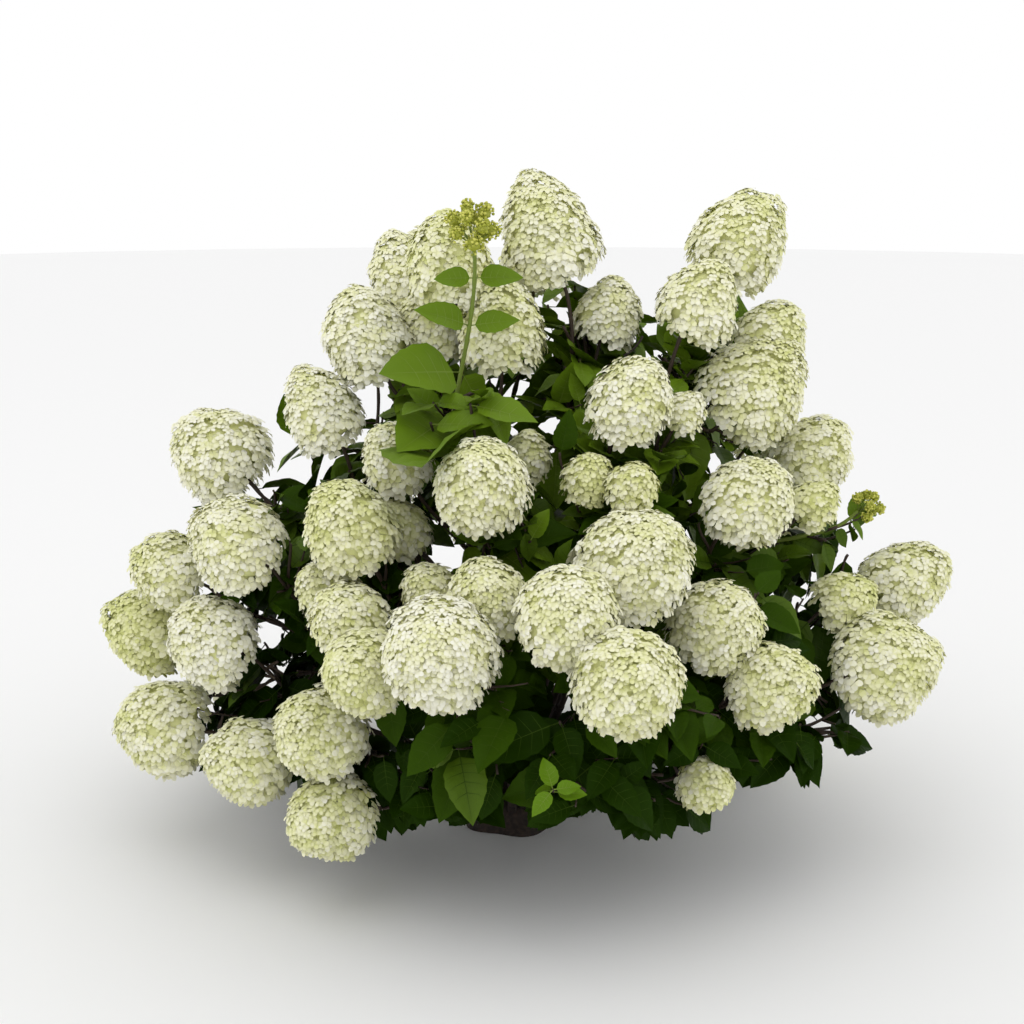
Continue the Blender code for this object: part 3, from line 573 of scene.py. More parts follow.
def bezier(ends, count):
    """count points evenly along the parameter of the cubic curve with these four control points."""
    a, b, c, d = ends
    points = []
    for i in range(count):
        t = i / (count - 1)
        s = 1 - t
        points.append(a * s**3 + b * 3 * s * s * t + c * 3 * s * t * t + d * t**3)
    return points


def rings_for(ends):
    """How many points a curve between these control points is given."""
    return max(LEAST_RINGS, round(sum((b - a).length for a, b in zip(ends, ends[1:])) / RING_STEP))


class Limb:
    """A path with its radii, its direction at each point and two more square to that."""

    def __init__(self, points, first, last, sides, tone=0):
        self.points = points
        self.sides = sides
        self.tone = tone
        steps = [(b - a).normalized() for a, b in zip(points, points[1:])]
        across = steps[0].orthogonal().normalized()
        self.frames = []
        for before, after in zip([steps[0], *steps], [*steps, steps[-1]]):
            ahead = (before + after).normalized()
            across = (across - ahead * across.dot(ahead)).normalized()
            self.frames.append((ahead, across, ahead.cross(across)))
        lengths = [(b - a).length for a, b in zip(points, points[1:])]
        self.reached = [0.0, *itertools.accumulate(lengths)]
        self.length = self.reached[-1]
        self.radii = [first + (last - first) * r / self.length for r in self.reached]

    def along(self, share):
        """The point at a share of the way, the direction there and the two square to it."""
        left = share * self.length
        i = min(max(bisect.bisect_right(self.reached, left) - 1, 0), len(self.points) - 2)
        part = (left - self.reached[i]) / (self.reached[i + 1] - self.reached[i])
        ahead, across, other = (
            self.frames[i][k].lerp(self.frames[i + 1][k], part).normalized() for k in range(3)
        )
        return self.points[i].lerp(self.points[i + 1], part), ahead, across, other

    def cut(self, reach):
        """The same limb, ending at this length along it."""
        keep = max(1, bisect.bisect_left(self.reached, reach))
        if keep > len(self.points) - 1:
            return self
        points = [*self.points[:keep], self.along(reach / self.length)[0]]
        return Limb(points, self.radii[0], self.radii[keep], self.sides, self.tone)

    def spheres(self, radius):
        """Spheres along the path, as rows of x, y, z and radius."""
        rows = []
        for a, b in zip(self.points, self.points[1:]):
            count = max(1, round((b - a).length / SPHERE_STEP))
            rows += [(*a.lerp(b, i / count), radius) for i in range(count + 1)]
        return rows


def head_foot(head):
    """Where the twig meets the underside of a head, or ends, on a leafy one."""
    return head["centre"] - head["axis"] * head["length"] / 2


def head_profile(share):
    """A flower head's radius at a share of its length, of half its width: blunt below and domed above."""
    if share < HEAD_WIDEST:
        return math.sqrt(max(0.0, 1 - ((HEAD_WIDEST - share) / HEAD_WIDEST) ** HEAD_BASE_CURVE))
    return max(0.0, 1 - ((share - HEAD_WIDEST) / (1 - HEAD_WIDEST)) ** 2) ** HEAD_DOME_CURVE


def leaf_outline(leaf):
    """The leaf's own points: root, left edge, tip, right edge and the middle of its midrib."""
    length = leaf["length"]
    ahead, face = leaf["ahead"], leaf["face"]
    side = ahead.cross(face)
    middle = leaf["root"] + ahead * length * LEAF_WIDEST
    half = side * length * LEAF_WIDTH / 2
    lift = face * length * LEAF_FOLD
    tip = leaf["root"] + ahead * length - face * length * leaf["curl"]
    return leaf["root"], middle - half + lift, tip, middle + half + lift, middle


def leaf_shape(leaf):
    """A plain stand-in for a leaf, to test whether two of them cross."""
    root, left, tip, right, middle = leaf_outline(leaf)
    points = [root.lerp(middle, SHAPE_FROM), left, tip, right, middle]
    return BVHTree.FromPolygons(points, [(0, 3, 4), (3, 2, 4), (2, 1, 4), (1, 0, 4)])


def test_points(leaf):
    """Points over a leaf that stand for it where its space is tested."""
    root, left, tip, right, middle = leaf_outline(leaf)
    points = [left, tip, right, middle]
    points += [a.lerp(b, 0.5) for a, b in ((left, tip), (tip, right), (right, root), (root, left))]
    return [*points, middle.lerp(tip, 0.5)]


def head_spheres(head):
    """Spheres that fill a flower head, as rows of x, y, z and radius."""
    base = head_foot(head)
    return [
        (*(base + head["axis"] * head["length"] * share), head["width"] / 2 * head_profile(share))
        for share in HEAD_SPHERES
    ]


def reach_to(spheres, points):
    """The distance from each point to the nearest of the spheres' surfaces."""
    middles = spheres[:, :3]
    square = (points**2).sum(axis=1)[:, None] + (middles**2).sum(axis=1) - 2 * points @ middles.T
    return (np.sqrt(np.maximum(square, 0)) - spheres[:, 3]).min(axis=1)


def far_place(height, reach, bearing):
    turn = math.radians(bearing)
    return Vector((reach * math.sin(turn), reach * math.cos(turn), height))


def head_at(tier, centre, width, length, green, lean=0.0):
    away = (centre - UP * LEAN_PIVOT[tier]).normalized()
    axis = (away + UP * LEAN_LIFT + Vector((lean, 0, 0))).normalized()
    return {"centre": centre, "axis": axis, "width": width, "length": length, "green": green}


def leafy(tier, centre, whorl=False):
    """The end of a branch with nothing but leaves, told like a head."""
    return {**head_at(tier, centre, 0, 0, 0), "whorl": whorl}


def plan_masses():
    """Every mass with its tier, its heads and its leafy ends, in the order they are named above."""
    rng = random.Random(SEED)
    greens = random.Random(SEED + 1)
    plan = {}
    for name, (tier, rows) in MASSES.items():
        heads = []
        for number, (*sizes, green) in enumerate(rows):
            *place, width, length = metres(sizes)
            lean = LEANS.get((name, number), 0.0)
            heads.append(head_at(tier, seen(*place), width, length, green, lean))
        ends = [leafy(tier, seen(*metres(place)), True) for place in WHORLS.get(name, ())]
        ends += [leafy(tier, seen(*metres(place))) for place in LEAFY_ENDS[name]]
        plan[name] = {"tier": tier, "heads": heads, "ends": ends}
    for name, (tier, places) in FAR_MASSES.items():
        heads = []
        for place in places:
            width = rng.uniform(*FAR_HEAD_WIDTH)
            green = greens.uniform(*FAR_HEAD_GREEN)
            heads.append(head_at(tier, far_place(*place), width, width * FAR_HEAD_STRETCH, green))
        ends = [leafy(tier, far_place(*place)) for place in FAR_LEAFY_ENDS[name]]
        plan[name] = {"tier": tier, "heads": heads, "ends": ends}
    return plan


def spread_bearings(bearings, least):
    """The bearings, pushed apart until each stands at least this far from its neighbours."""
    turns = list(bearings)
    order = sorted(range(len(turns)), key=lambda i: turns[i])
    for _ in range(200):
        for a, b in zip(order, order[1:] + order[:1]):
            step = (turns[b] - turns[a] + math.pi / 4) % (2 * math.pi) - math.pi / 4
            if step < least:
                turns[a] -= (least - step) / 4
                turns[b] += (least - step) / 4
    return turns


def turns_round(sides):
    """The turns of this many points spread evenly round a circle."""
    return np.arange(sides) * 2 * math.pi / sides


def stool_net():
    """The stool's surface as a grid of points, ring by ring: a flared foot with lobes, under a dome."""
    rows = [(0.0, 0.0, 0.0), (0.0, STOOL_RADIUS + STOOL_FLARE, 1.0)]
    rows.append((STOOL_FOOT_HEIGHT, STOOL_RADIUS + STOOL_FLARE * STOOL_EDGE_FLARE, STOOL_EDGE_FLARE))
    for i in range(STOOL_RINGS):
        tilt = math.radians(STOOL_DOME_TILT + (90 - STOOL_DOME_TILT) * i / (STOOL_RINGS - 1))
        height = STOOL_DOME_FOOT + (STOOL_HEIGHT - STOOL_DOME_FOOT) * math.sin(tilt)
        rows.append((height, STOOL_RADIUS * math.cos(tilt), 0.0))
    height, radius, flare = np.array(rows).T[:, :, None]
    turn = turns_round(STOOL_SIDES)[None]
    swell = radius + flare * STOOL_FLARE * LOBE_SWELL * np.cos(STOOL_LOBES * turn)
    return np.stack([swell * np.cos(turn), swell * np.sin(turn), height + 0 * turn], axis=2)


def net_faces(rows, sides):
    """The triangles between the rings of a grid that closes on itself."""
    row, side = np.meshgrid(np.arange(rows - 1), np.arange(sides), indexing="ij")
    a = (row * sides + side).ravel()
    b = (row * sides + (side + 1) % sides).ravel()
    return np.concatenate([np.stack([a, b, b + sides], 1), np.stack([a, b + sides, a + sides], 1)])


def bough_path(surface, turn, tilt, middle):
    """A bough's points, from the stool's dome at this bearing and tilt towards the middle of its mass."""
    out = Vector((math.cos(turn) * math.cos(tilt), math.sin(turn) * math.cos(tilt), math.sin(tilt)))
    heart = UP * STOOL_HEIGHT * START_HEART
    hit, normal, _, _ = surface.ray_cast(heart + out, -out)
    start = hit + normal * GAP
    entry = start.lerp(middle, BOUGH_ENTRY) + UP * BOUGH_LIFT
    reach = (entry - start).length
    leaving = (normal * BOUGH_SQUARE + (entry - start).normalized() + UP * BOUGH_UP).normalized()
    ending = (middle - entry).normalized()
    ends = (
        start + normal * BOUGH_LEAD,
        start + leaving * reach * BOUGH_BEND,
        entry - ending * reach * BOUGH_BEND,
        entry,
    )
    return [start - normal * BOUGH_SINK, *bezier(ends, rings_for(ends))]


def grow_boughs(plan):
    """Gives each mass its bough, tier by tier up the stool's dome."""
    net = stool_net()
    surface = BVHTree.FromPolygons(
        [Vector(p) for p in net.reshape(-1, 3)], net_faces(*net.shape[:2]).tolist()
    )
    for tier in (LOW, MIDDLE, HIGH):
        masses = [mass for mass in plan.values() if mass["tier"] == tier]
        middles = [sum(map(head_foot, m["heads"]), Vector()) / len(m["heads"]) for m in masses]
        bearings = [math.atan2(p.y, p.x) for p in middles]
        turns = spread_bearings(bearings, math.radians(START_APART[tier]))
        for mass, middle, turn in zip(masses, middles, turns):
            path = bough_path(surface, turn, math.radians(START_TILT[tier]), middle)
            mass["bough"] = Limb(path, BOUGH_RADIUS, BOUGH_TIP_RADIUS, BOUGH_SIDES)


def twig_to(head, start, leaving):
    """The points of a twig from start to a head's foot, and on into the head."""
    foot = head_foot(head)
    bend = (foot - start).length * TWIG_BEND
    arriving = (head["axis"] * (1 - TWIG_UPRIGHT) + UP * TWIG_UPRIGHT).normalized()
    ends = (start, start + leaving * bend, foot - arriving * bend, foot)
    path = bezier(ends, rings_for(ends))
    if head["width"]:
        path.append(foot + head["axis"] * head["length"] * HEAD_SINK)
    return path


def grow_twigs(mass):
    """The stem that carries on from the bough to the first head, and from it one twig to each other head."""
    first, *others = mass["heads"]
    tip = mass["bough"].points[-1]
    ahead = (tip - mass["bough"].points[-2]).normalized()
    path = [tip, *twig_to(first, tip + ahead * STEM_LEAD, ahead)]
    stem = Limb(path, STEM_RADIUS, TWIG_TIP_RADIUS, TWIG_SIDES)
    mass["twigs"], mass["branches"] = [stem], []
    for i, head in enumerate(others):
        share = FORK_FIRST + (FORK_LAST - FORK_FIRST) * i / len(others)
        fork, along_stem, _, _ = stem.along(share)
        leaving = (along_stem + (head_foot(head) - fork).normalized()).normalized()
        tone = GREEN_TWIG if head["green"] == BUD else BROWN_TWIG
        path = twig_to(head, fork, leaving)
        mass["twigs"].append(Limb(path, TWIG_RADIUS, TWIG_TIP_RADIUS, TWIG_SIDES, tone))
    for end in mass["ends"]:
        fork, along_twig = branch_start(mass, end["centre"])
        leaving = (along_twig + (end["centre"] - fork).normalized()).normalized()
        path = twig_to(end, fork, leaving)
        mass["branches"].append(Limb(path, BRANCH_RADIUS, BRANCH_TIP_RADIUS, TWIG_SIDES))


def branch_start(mass, end):
    """The place and direction in which a leafy branch to this end leaves the mass's twigs or bough."""
    spots = [(limb, share) for limb in mass["twigs"] for share in BRANCH_SHARES]
    spots += [(mass["bough"], share) for share in BRANCH_BOUGH_SHARES]
    found = [limb.along(share)[:2] for limb, share in spots]
    below = end - UP * (end - mass["bough"].points[-1]).length * BRANCH_RISE
    return min(found, key=lambda spot: (spot[0] - below).length)


def gather_spaces(plan):
    """The spheres of each mass's own heads and twigs, which divide the room between the masses."""
    for mass in plan.values():
        rows = [row for head in mass["heads"] if head["width"] for row in head_spheres(head)]
        for twig in mass["twigs"] + mass["branches"]:
            rows += twig.spheres(BUD_ROOM if twig.tone == GREEN_TWIG else TWIG_RADIUS)
        mass["space"] = np.array(rows)
    for name, mass in plan.items():
        mass["others"] = np.concatenate([other["space"] for key, other in plan.items() if key != name])


def sight(points):
    """Where each point is seen, across and up in the sight plane, and how far ahead of the eye it is."""
    eye, ahead, rise = (np.array(line) for line in eye_lines())
    rays = points - eye
    depth = rays @ ahead
    return rays[:, 0] * EYE_DISTANCE / depth, rays @ rise * EYE_DISTANCE / depth, depth


def sight_discs(spheres):
    """The discs that spheres are seen as: across, up, radius and how far ahead."""
    across, up, depth = sight(spheres[:, :3])
    return np.stack([across, up, spheres[:, 3] * EYE_DISTANCE / depth, depth], axis=1)


def hides(points, discs):
    """Whether each point is seen in front of one of the discs."""
    across, up, depth = sight(points)
    x, y, radius, away = discs.T
    within = (across[:, None] - x) ** 2 + (up[:, None] - y) ** 2 < radius**2
    return (within & (depth[:, None] < away)).any(axis=1)


def out_of_view(points):
    """Whether each point is seen in one of the crown's openings or below its hem."""
    across, up, _ = sight(points)
    hem = [metres(place) for place in HEM]
    inside = up < np.interp(across, *np.array(hem).T)
    for x, y, radius in map(metres, OPENINGS):
        inside |= (across - x) ** 2 + (up - y) ** 2 < radius**2
    return inside


def keep_to(mass, room, shapes, free):
    """For each set of points, whether they lie in the mass's own space, off ground, limbs and heads.

    A set that isn't free may not be seen in front of a flower head, and none may hide what is kept clear.
    """
    sets = np.array(shapes, dtype=float)
    count, each, _ = sets.shape
    points = sets.reshape(-1, 3)
    fine = points[:, 2] > GROUND_MARGIN
    fine &= reach_to(room["limbs"], points) > LIMB_MARGIN
    fine &= reach_to(mass["others"], points) - reach_to(mass["space"], points) > SPACE_MARGIN
    before_heads = hides(points, room["heads_seen"]) & ~np.repeat(free, each)
    fine &= ~(out_of_view(points) | before_heads | hides(points, room["clear_seen"]))
    outer = sets[:, :OUTER_POINTS].reshape(-1, 3)
    off_heads = reach_to(room["heads"], outer) > HEAD_MARGIN
    return fine.reshape(count, each).all(axis=1) & off_heads.reshape(count, -1).all(axis=1)


def at_random(reach, rng):
    return Vector([rng.uniform(-reach, reach) for _ in range(3)])


def leaf_at(place, turn, rng):
    """A leaf from this place that droops and turns its face up: with each try shorter and further swung."""
    root = place["root"]
    length = rng.uniform(*LEAF_LENGTH) * place["size"] * LEAF_SHRINK**turn
    swing = at_random(1, rng) * LEAF_SWING * turn
    low = max(0.0, 1 - root.z / LOW_HEIGHT)
    ahead = (place["way"] + swing - UP * (rng.uniform(*LEAF_DROOP) + LOW_DROOP * low)).normalized()
    outward = Vector((root.x, root.y, 0)).normalized()
    if root.y < 0:
        outward = (outward + Vector((0, -LEAF_FACE_FRONT, 0))).normalized()
    stray = at_random(LEAF_FACE_STRAY, rng)
    face = UP + outward * (LEAF_FACE_OUT + LOW_FACE_OUT * low) + stray
    if place["limb"].tone == GREEN_TWIG:
        face -= Vector((0, BUD_FACE_FRONT, 0))
    face = (face - ahead * face.dot(ahead)).normalized()
    curl = rng.uniform(*LEAF_CURL)
    return {**place, "ahead": ahead, "face": face, "length": length, "curl": curl}


def spray_tone(point, rng):
    """The tone that the leaves of one spray share: fresh and lit high and far out, darker low and inside as
    painted shade.
    """
    out = math.hypot(point.x, point.y)
    # how lit the spray stands, by height and reach, which picks its painted shade
    light = HEIGHT_LIGHT * point.z + REACH_LIGHT * out + rng.gauss(0, LIGHT_STRAY)
    return DEEP_SHADE - bisect.bisect(TONE_LIGHTS, light)


def round_limb(side, other, turn):
    """The direction at this turn round a limb, between two that are square to it."""
    return side * math.cos(turn) + other * math.sin(turn)


def leaf_place(limb, point, out, way, size, tone, reach):
    """Where a leaf leaves a limb and the way it sets out, with what the leaf is to be."""
    root = point + out * LEAF_SINK
    return {"root": root, "way": way, "size": size, "tone": tone, "limb": limb, "reach": reach}


def leaf_places(limb, first, step, size, tone, rng):
    """Where opposite pairs leave a limb, from first short of its end back."""
    spin = math.pi / TWIG_SIDES + rng.randrange(2) * math.pi / 2
    onward, growth = math.pi / 2, 1.0
    if limb.tone == GREEN_TWIG:
        _, _, side, other = limb.along(1.0)
        spin, onward, growth = math.atan2(other.x, side.x), BUD_PAIR_TURN, BUD_LEAF_GROWTH
    from_end = first
    places = []
    while from_end < limb.length - LAST_PAIR:
        point, ahead, side, other = limb.along(1 - from_end / limb.length)
        for half in (0, math.pi):
            out = round_limb(side, other, spin + half)
            way = (out + ahead * rng.uniform(*LEAF_AHEAD)).normalized()
            places.append(leaf_place(limb, point, out, way, size, tone, limb.length - from_end))
        spin += onward
        size *= growth
        from_end += step * rng.uniform(*PAIR_STRAY)
    return places


def whorl_places(limb):
    """Close pairs of small young leaves at a limb's end, as leaf_places gives them."""
    places = []
    for pair in range(WHORL_PAIRS):
        point, ahead, side, other = limb.along(1 - pair * WHORL_STEP / limb.length)
        size = WHORL_SIZE[0] + (WHORL_SIZE[1] - WHORL_SIZE[0]) * pair / (WHORL_PAIRS - 1)
        for half in (0, math.pi):
            out = round_limb(side, other, pair * WHORL_TURN + half)
            way = (out + ahead * WHORL_AHEAD + UP * WHORL_LIFT).normalized()
            places.append(leaf_place(limb, point, out, way, size, YOUNG, limb.length))
    return places


def side_limb(limb, shares, lengths, radii, rng):
    """A short leafy limb from part way along another."""
    root, ahead, _, _ = limb.along(rng.uniform(*shares))
    outward = Vector((root.x, root.y, 0)).normalized()
    way = (ahead * SHOOT_AHEAD + outward * SHOOT_OUT + at_random(1, rng) * SHOOT_STRAY).normalized()
    length = rng.uniform(*lengths)
    tip = root + way * length
    middle = root.lerp(tip, 0.5) - UP * length * SHOOT_BOW
    ends = (root, root.lerp(middle, SHOOT_ROUND), tip.lerp(middle, SHOOT_ROUND), tip)
    return Limb(bezier(ends, SHOOT_POINTS), *radii, SHOOT_SIDES, limb.tone)


def add_leaves(mass, places, room, rng):
    """Grows a leaf at each of these places that has room for one, and gives back how many grew."""
    bare = not any(head["width"] for head in mass["heads"])
    most = MOST_LEAVES_BARE if bare else MOST_LEAVES
    before = len(mass["leaves"])
    waiting = list(places)
    for turn in range(LEAF_TRIES):
        if not waiting:
            break
        leaves = [leaf_at(place, turn, rng) for place in waiting]
        free = [place["limb"].tone == GREEN_TWIG for place in waiting]
        fits = keep_to(mass, room, [test_points(leaf) for leaf in leaves], free)
        missed = []
        for place, leaf, fit in zip(waiting, leaves, fits):
            if not fit or len(mass["leaves"]) >= most:
                missed.append(place)
                continue
            shape = leaf_shape(leaf)
            middle = leaf["root"] + leaf["ahead"] * leaf["length"] * 0.5
            near = (s for m, s in mass["leaf_shapes"] if (m - middle).length < NEIGHBOUR_REACH)
            if any(map(shape.overlap, near)):
                missed.append(place)
                continue
            mass["leaf_shapes"].append((middle, shape))
            mass["leaves"].append(leaf)
        waiting = missed
    return len(mass["leaves"]) - before


def cut_to_leaves(mass, limb, least):
    """The limb cut back to its last leaf, or to the least share of its length."""
    reaches = [leaf["reach"] for leaf in mass["leaves"] if leaf["limb"] is limb]
    return limb.cut(max([*reaches, limb.length * least]) + LIMB_STUB)


def grow_leaves(mass, room, rng):
    """Fills a mass's own space with leaves that don't cross: on its twigs, on side shoots and on sprigs."""
    mass["shoots"], mass["leaves"], mass["leaf_shapes"] = [], [], []
    for end, branch in zip(mass["ends"], mass["branches"]):
        if end["whorl"]:
            add_leaves(mass, whorl_places(branch), {**room, "clear_seen": np.zeros((0, 4))}, rng)
    rows = []
    twigs = mass["twigs"] + mass["branches"]
    for head, twig in zip(mass["heads"] + mass["ends"], twigs):
        first = FIRST_PAIR + head["length"] * HEAD_SINK + BUD_FIRST_PAIR * (twig.tone == GREEN_TWIG)
        step, size = (BUD_PAIR_STEP, BUD_LEAF_SIZE) if twig.tone == GREEN_TWIG else (PAIR_STEP, 1.0)
        rows.append(leaf_places(twig, first, step, size, spray_tone(twig.points[-1], rng), rng))
    in_turn = [place for rank in itertools.zip_longest(*rows) for place in rank if place]
    add_leaves(mass, in_turn, room, rng)
    mass["branches"] = [cut_to_leaves(mass, branch, BARE_SHARE) for branch in mass["branches"]]
    for number, head in enumerate(mass["heads"]):
        if not head["width"]:
            mass["twigs"][number] = cut_to_leaves(mass, mass["twigs"][number], BARE_SHARE)
    twigs = [twig for twig in mass["twigs"] if twig.tone == BROWN_TWIG] + mass["branches"]
    for twig in twigs:
        for _ in range(SHOOTS_PER_TWIG):
            shoot = side_limb(twig, SHOOT_FROM, SHOOT_LENGTH, (SHOOT_RADIUS, SHOOT_TIP_RADIUS), rng)
            tone = spray_tone(shoot.points[-1], rng)
            add_side_limb(mass, shoot, SHOOT_PAIR_STEP, SHOOT_LEAF_SIZE, tone, room, rng)
    for limb in twigs + mass["shoots"]:
        for _ in range(SPRIGS_PER_TWIG):
            sprig = side_limb(limb, SPRIG_FROM, SPRIG_LENGTH, (SPRIG_RADIUS, SPRIG_TIP_RADIUS), rng)
            tone = spray_tone(sprig.points[-1], rng)
            size = rng.uniform(*SPRIG_LEAF_SIZE)
            add_side_limb(mass, sprig, SPRIG_PAIR_STEP, size, tone, room, rng)


def add_side_limb(mass, limb, step, size, tone, room, rng):
    """Adds a shoot or sprig with its leaves, if it keeps to its mass's space and any leaf grows on it."""
    if not keep_to(mass, room, [limb.points[1:]], [False])[0]:
        return
    places = leaf_places(limb, FIRST_PAIR, step, size, tone, rng)
    grown = add_leaves(mass, places, room, rng)
    reaches = [leaf["reach"] for leaf in mass["leaves"][len(mass["leaves"]) - grown:]]
    if grown and min(reaches) < BARE_REACH:
        mass["shoots"].append(cut_to_leaves(mass, limb, 0.0))
    elif grown:
        del mass["leaves"][-grown:], mass["leaf_shapes"][-grown:]


def grow():
    """The whole plant's plan: every mass with its heads, bough, twigs, shoots, sprigs and leaves."""
    plan = plan_masses()
    grow_boughs(plan)
    for mass in plan.values():
        grow_twigs(mass)
    gather_spaces(plan)
    limbs = np.array([row for mass in plan.values() for row in mass["bough"].spheres(BOUGH_RADIUS)])
    full = [head for mass in plan.values() for head in mass["heads"] if head["width"]]
    heads = np.array([row for head in full for row in head_spheres(head)])
    whorls = [end["centre"] for mass in plan.values() for end in mass["ends"] if end["whorl"]]
    stems = [twig for mass in plan.values() for twig in mass["twigs"] if twig.tone == GREEN_TWIG]
    clear = [(*centre, WHORL_RADIUS) for centre in whorls]
    clear += [row for twig in stems for row in twig.spheres(STEM_ROOM)]
    near = [head for name in MASSES for head in plan[name]["heads"] if head["width"]]
    near = np.array([row for head in near for row in head_spheres(head)]) * (1, 1, 1, SEEN_SHARE)
    room = {"limbs": limbs, "heads": heads}
    room.update(heads_seen=sight_discs(near), clear_seen=sight_discs(np.array(clear)))
    for number, mass in enumerate(plan.values()):
        grow_leaves(mass, room, random.Random(SEED + number))
    return plan


class Pile:
    """Triangles that are joined into one piece, each with the slot of its material."""

    def __init__(self):
        self.points, self.faces, self.slots = [], [], []
        self.count = 0

    def add(self, points, faces, slots):
        points = np.asarray(points, float).reshape(-1, 3)
        self.points.append(points)
        self.faces.append(np.asarray(faces) + self.count)
        self.slots.append(np.broadcast_to(slots, len(faces)))
        self.count += len(points)

    def add_copies(self, points, faces, slots):
        """points has one row of points for each copy, and slots one row of the slots of its faces."""
        copies, each, _ = points.shape
        shifted = faces[None] + (np.arange(copies) * each)[:, None, None]
        self.add(points, shifted.reshape(-1, 3), np.asarray(slots).reshape(-1))

    def make(self, name, materials, slot, nodes):
        mesh = bpy.data.meshes.new(name)
        points = np.concatenate(self.points)
        faces = np.concatenate(self.faces)
        mesh.vertices.add(len(points))
        mesh.vertices.foreach_set("co", points.astype(np.float32).ravel())
        mesh.loops.add(faces.size)
        mesh.loops.foreach_set("vertex_index", faces.astype(np.int32).ravel())
        mesh.polygons.add(len(faces))
        mesh.polygons.foreach_set("loop_start", np.arange(0, faces.size, 3, dtype=np.int32))
        mesh.polygons.foreach_set("material_index", np.concatenate(self.slots).astype(np.int32))
        for made in materials:
            mesh.materials.append(made)
        mesh.update(calc_edges=True)
        mesh.shade_smooth()
        piece = add_object(name, mesh)
        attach(piece, "root")
        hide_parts(*nodes)
        print(name, len(faces), "triangles")
        return piece


def add_object(name, data):
    made = bpy.data.objects.new(name, data)
    bpy.context.scene.collection.objects.link(made)
    return made


def unit(rows):
    return rows / np.linalg.norm(rows, axis=-1, keepdims=True)


def circle(across, other, turn):
    """The directions at these turns, between two that are square to each other."""
    return across * np.cos(turn)[..., None] + other * np.sin(turn)[..., None]


def blade_net():
    """A leaf's net: along, across and above, its quilting and its share of the wave, then faces and parts."""
    rows = [(0.0, 0.0, 0.0, 0.0)]
    widest = BLADE_BASE_CURVE / (BLADE_BASE_CURVE + BLADE_TIP_CURVE)
    most = widest**BLADE_BASE_CURVE * (1 - widest) ** BLADE_TIP_CURVE
    for i in range(1, BLADE_ROWS):
        share = i / BLADE_ROWS
        odd = 1 if i % 2 else -1
        for column, lag in zip(BLADE_COLUMNS, BLADE_LAG):
            along = share + lag * math.sin(math.pi * share)
            half = (along**BLADE_BASE_CURVE * (1 - along) ** BLADE_TIP_CURVE) / most
            out = abs(column)
            across = column * half * (1 + odd * BLADE_TEETH * (out == 1))
            rise = LEAF_FOLD * out * half + BLADE_PILLOW * math.sin(math.pi * out) * half
            quilt = odd * BLADE_QUILT * math.sin(math.pi * min(1, out * QUILT_REACH)) * half
            rows.append((along, across * LEAF_WIDTH / 2, rise + quilt, out * half))
    rows.append((1.0, 0.0, 0.0, 0.0))
    wide = len(BLADE_COLUMNS)
    tip = len(rows) - 1
    faces = []
    for k in range(wide - 1):
        faces += [(0, 2 + k, 1 + k), (tip, tip - wide + k, tip - wide + k + 1)]
        for i in range(BLADE_ROWS - 2):
            a = 1 + i * wide + k
            faces += [(a, a + 1, a + wide + 1), (a, a + wide + 1, a + wide)]
    plain = len(faces)
    rows = [np.array(row) for row in rows]
    middle = wide // 2 + 1
    for i in VEIN_ROWS:
        for step in (-1, 1):
            root, crook, edge = (rows[middle + (i - 1) * wide + k * step] for k in range(3))
            edge = crook + (edge - crook) * VEIN_END
            half = np.array([VEIN_WIDTH / 2, 0, 0, 0])
            rise = np.array([0, 0, VEIN_RISE, 0])
            first = len(rows)
            rows += [root - half + rise, root + half + rise]
            rows += [crook - half * VEIN_TAPER + rise, crook + half * VEIN_TAPER + rise, edge + rise]
            net = ((0, 1, 3), (0, 3, 2), (2, 3, 4))
            faces += [tuple(first + k for k in face[::-step]) for face in net]
    first = len(rows)
    for i in MIDRIB_ROWS:
        spot = rows[middle + (i - 1) * wide] if i else rows[0]
        half = np.array([0, MIDRIB_WIDTH / 2 * (1 - i / BLADE_ROWS), 0, 0])
        rise = np.array([0, 0, MIDRIB_RISE, 0])
        rows += [spot - half + rise, spot + half + rise]
    rows.append(rows[tip])
    for i in range(len(MIDRIB_ROWS) - 1):
        a = first + 2 * i
        faces += [(a, a + 1, a + 3), (a, a + 3, a + 2)]
    faces.append((len(rows) - 3, len(rows) - 2, len(rows) - 1))
    return np.array(rows), np.array(faces), np.arange(len(faces)) >= plain


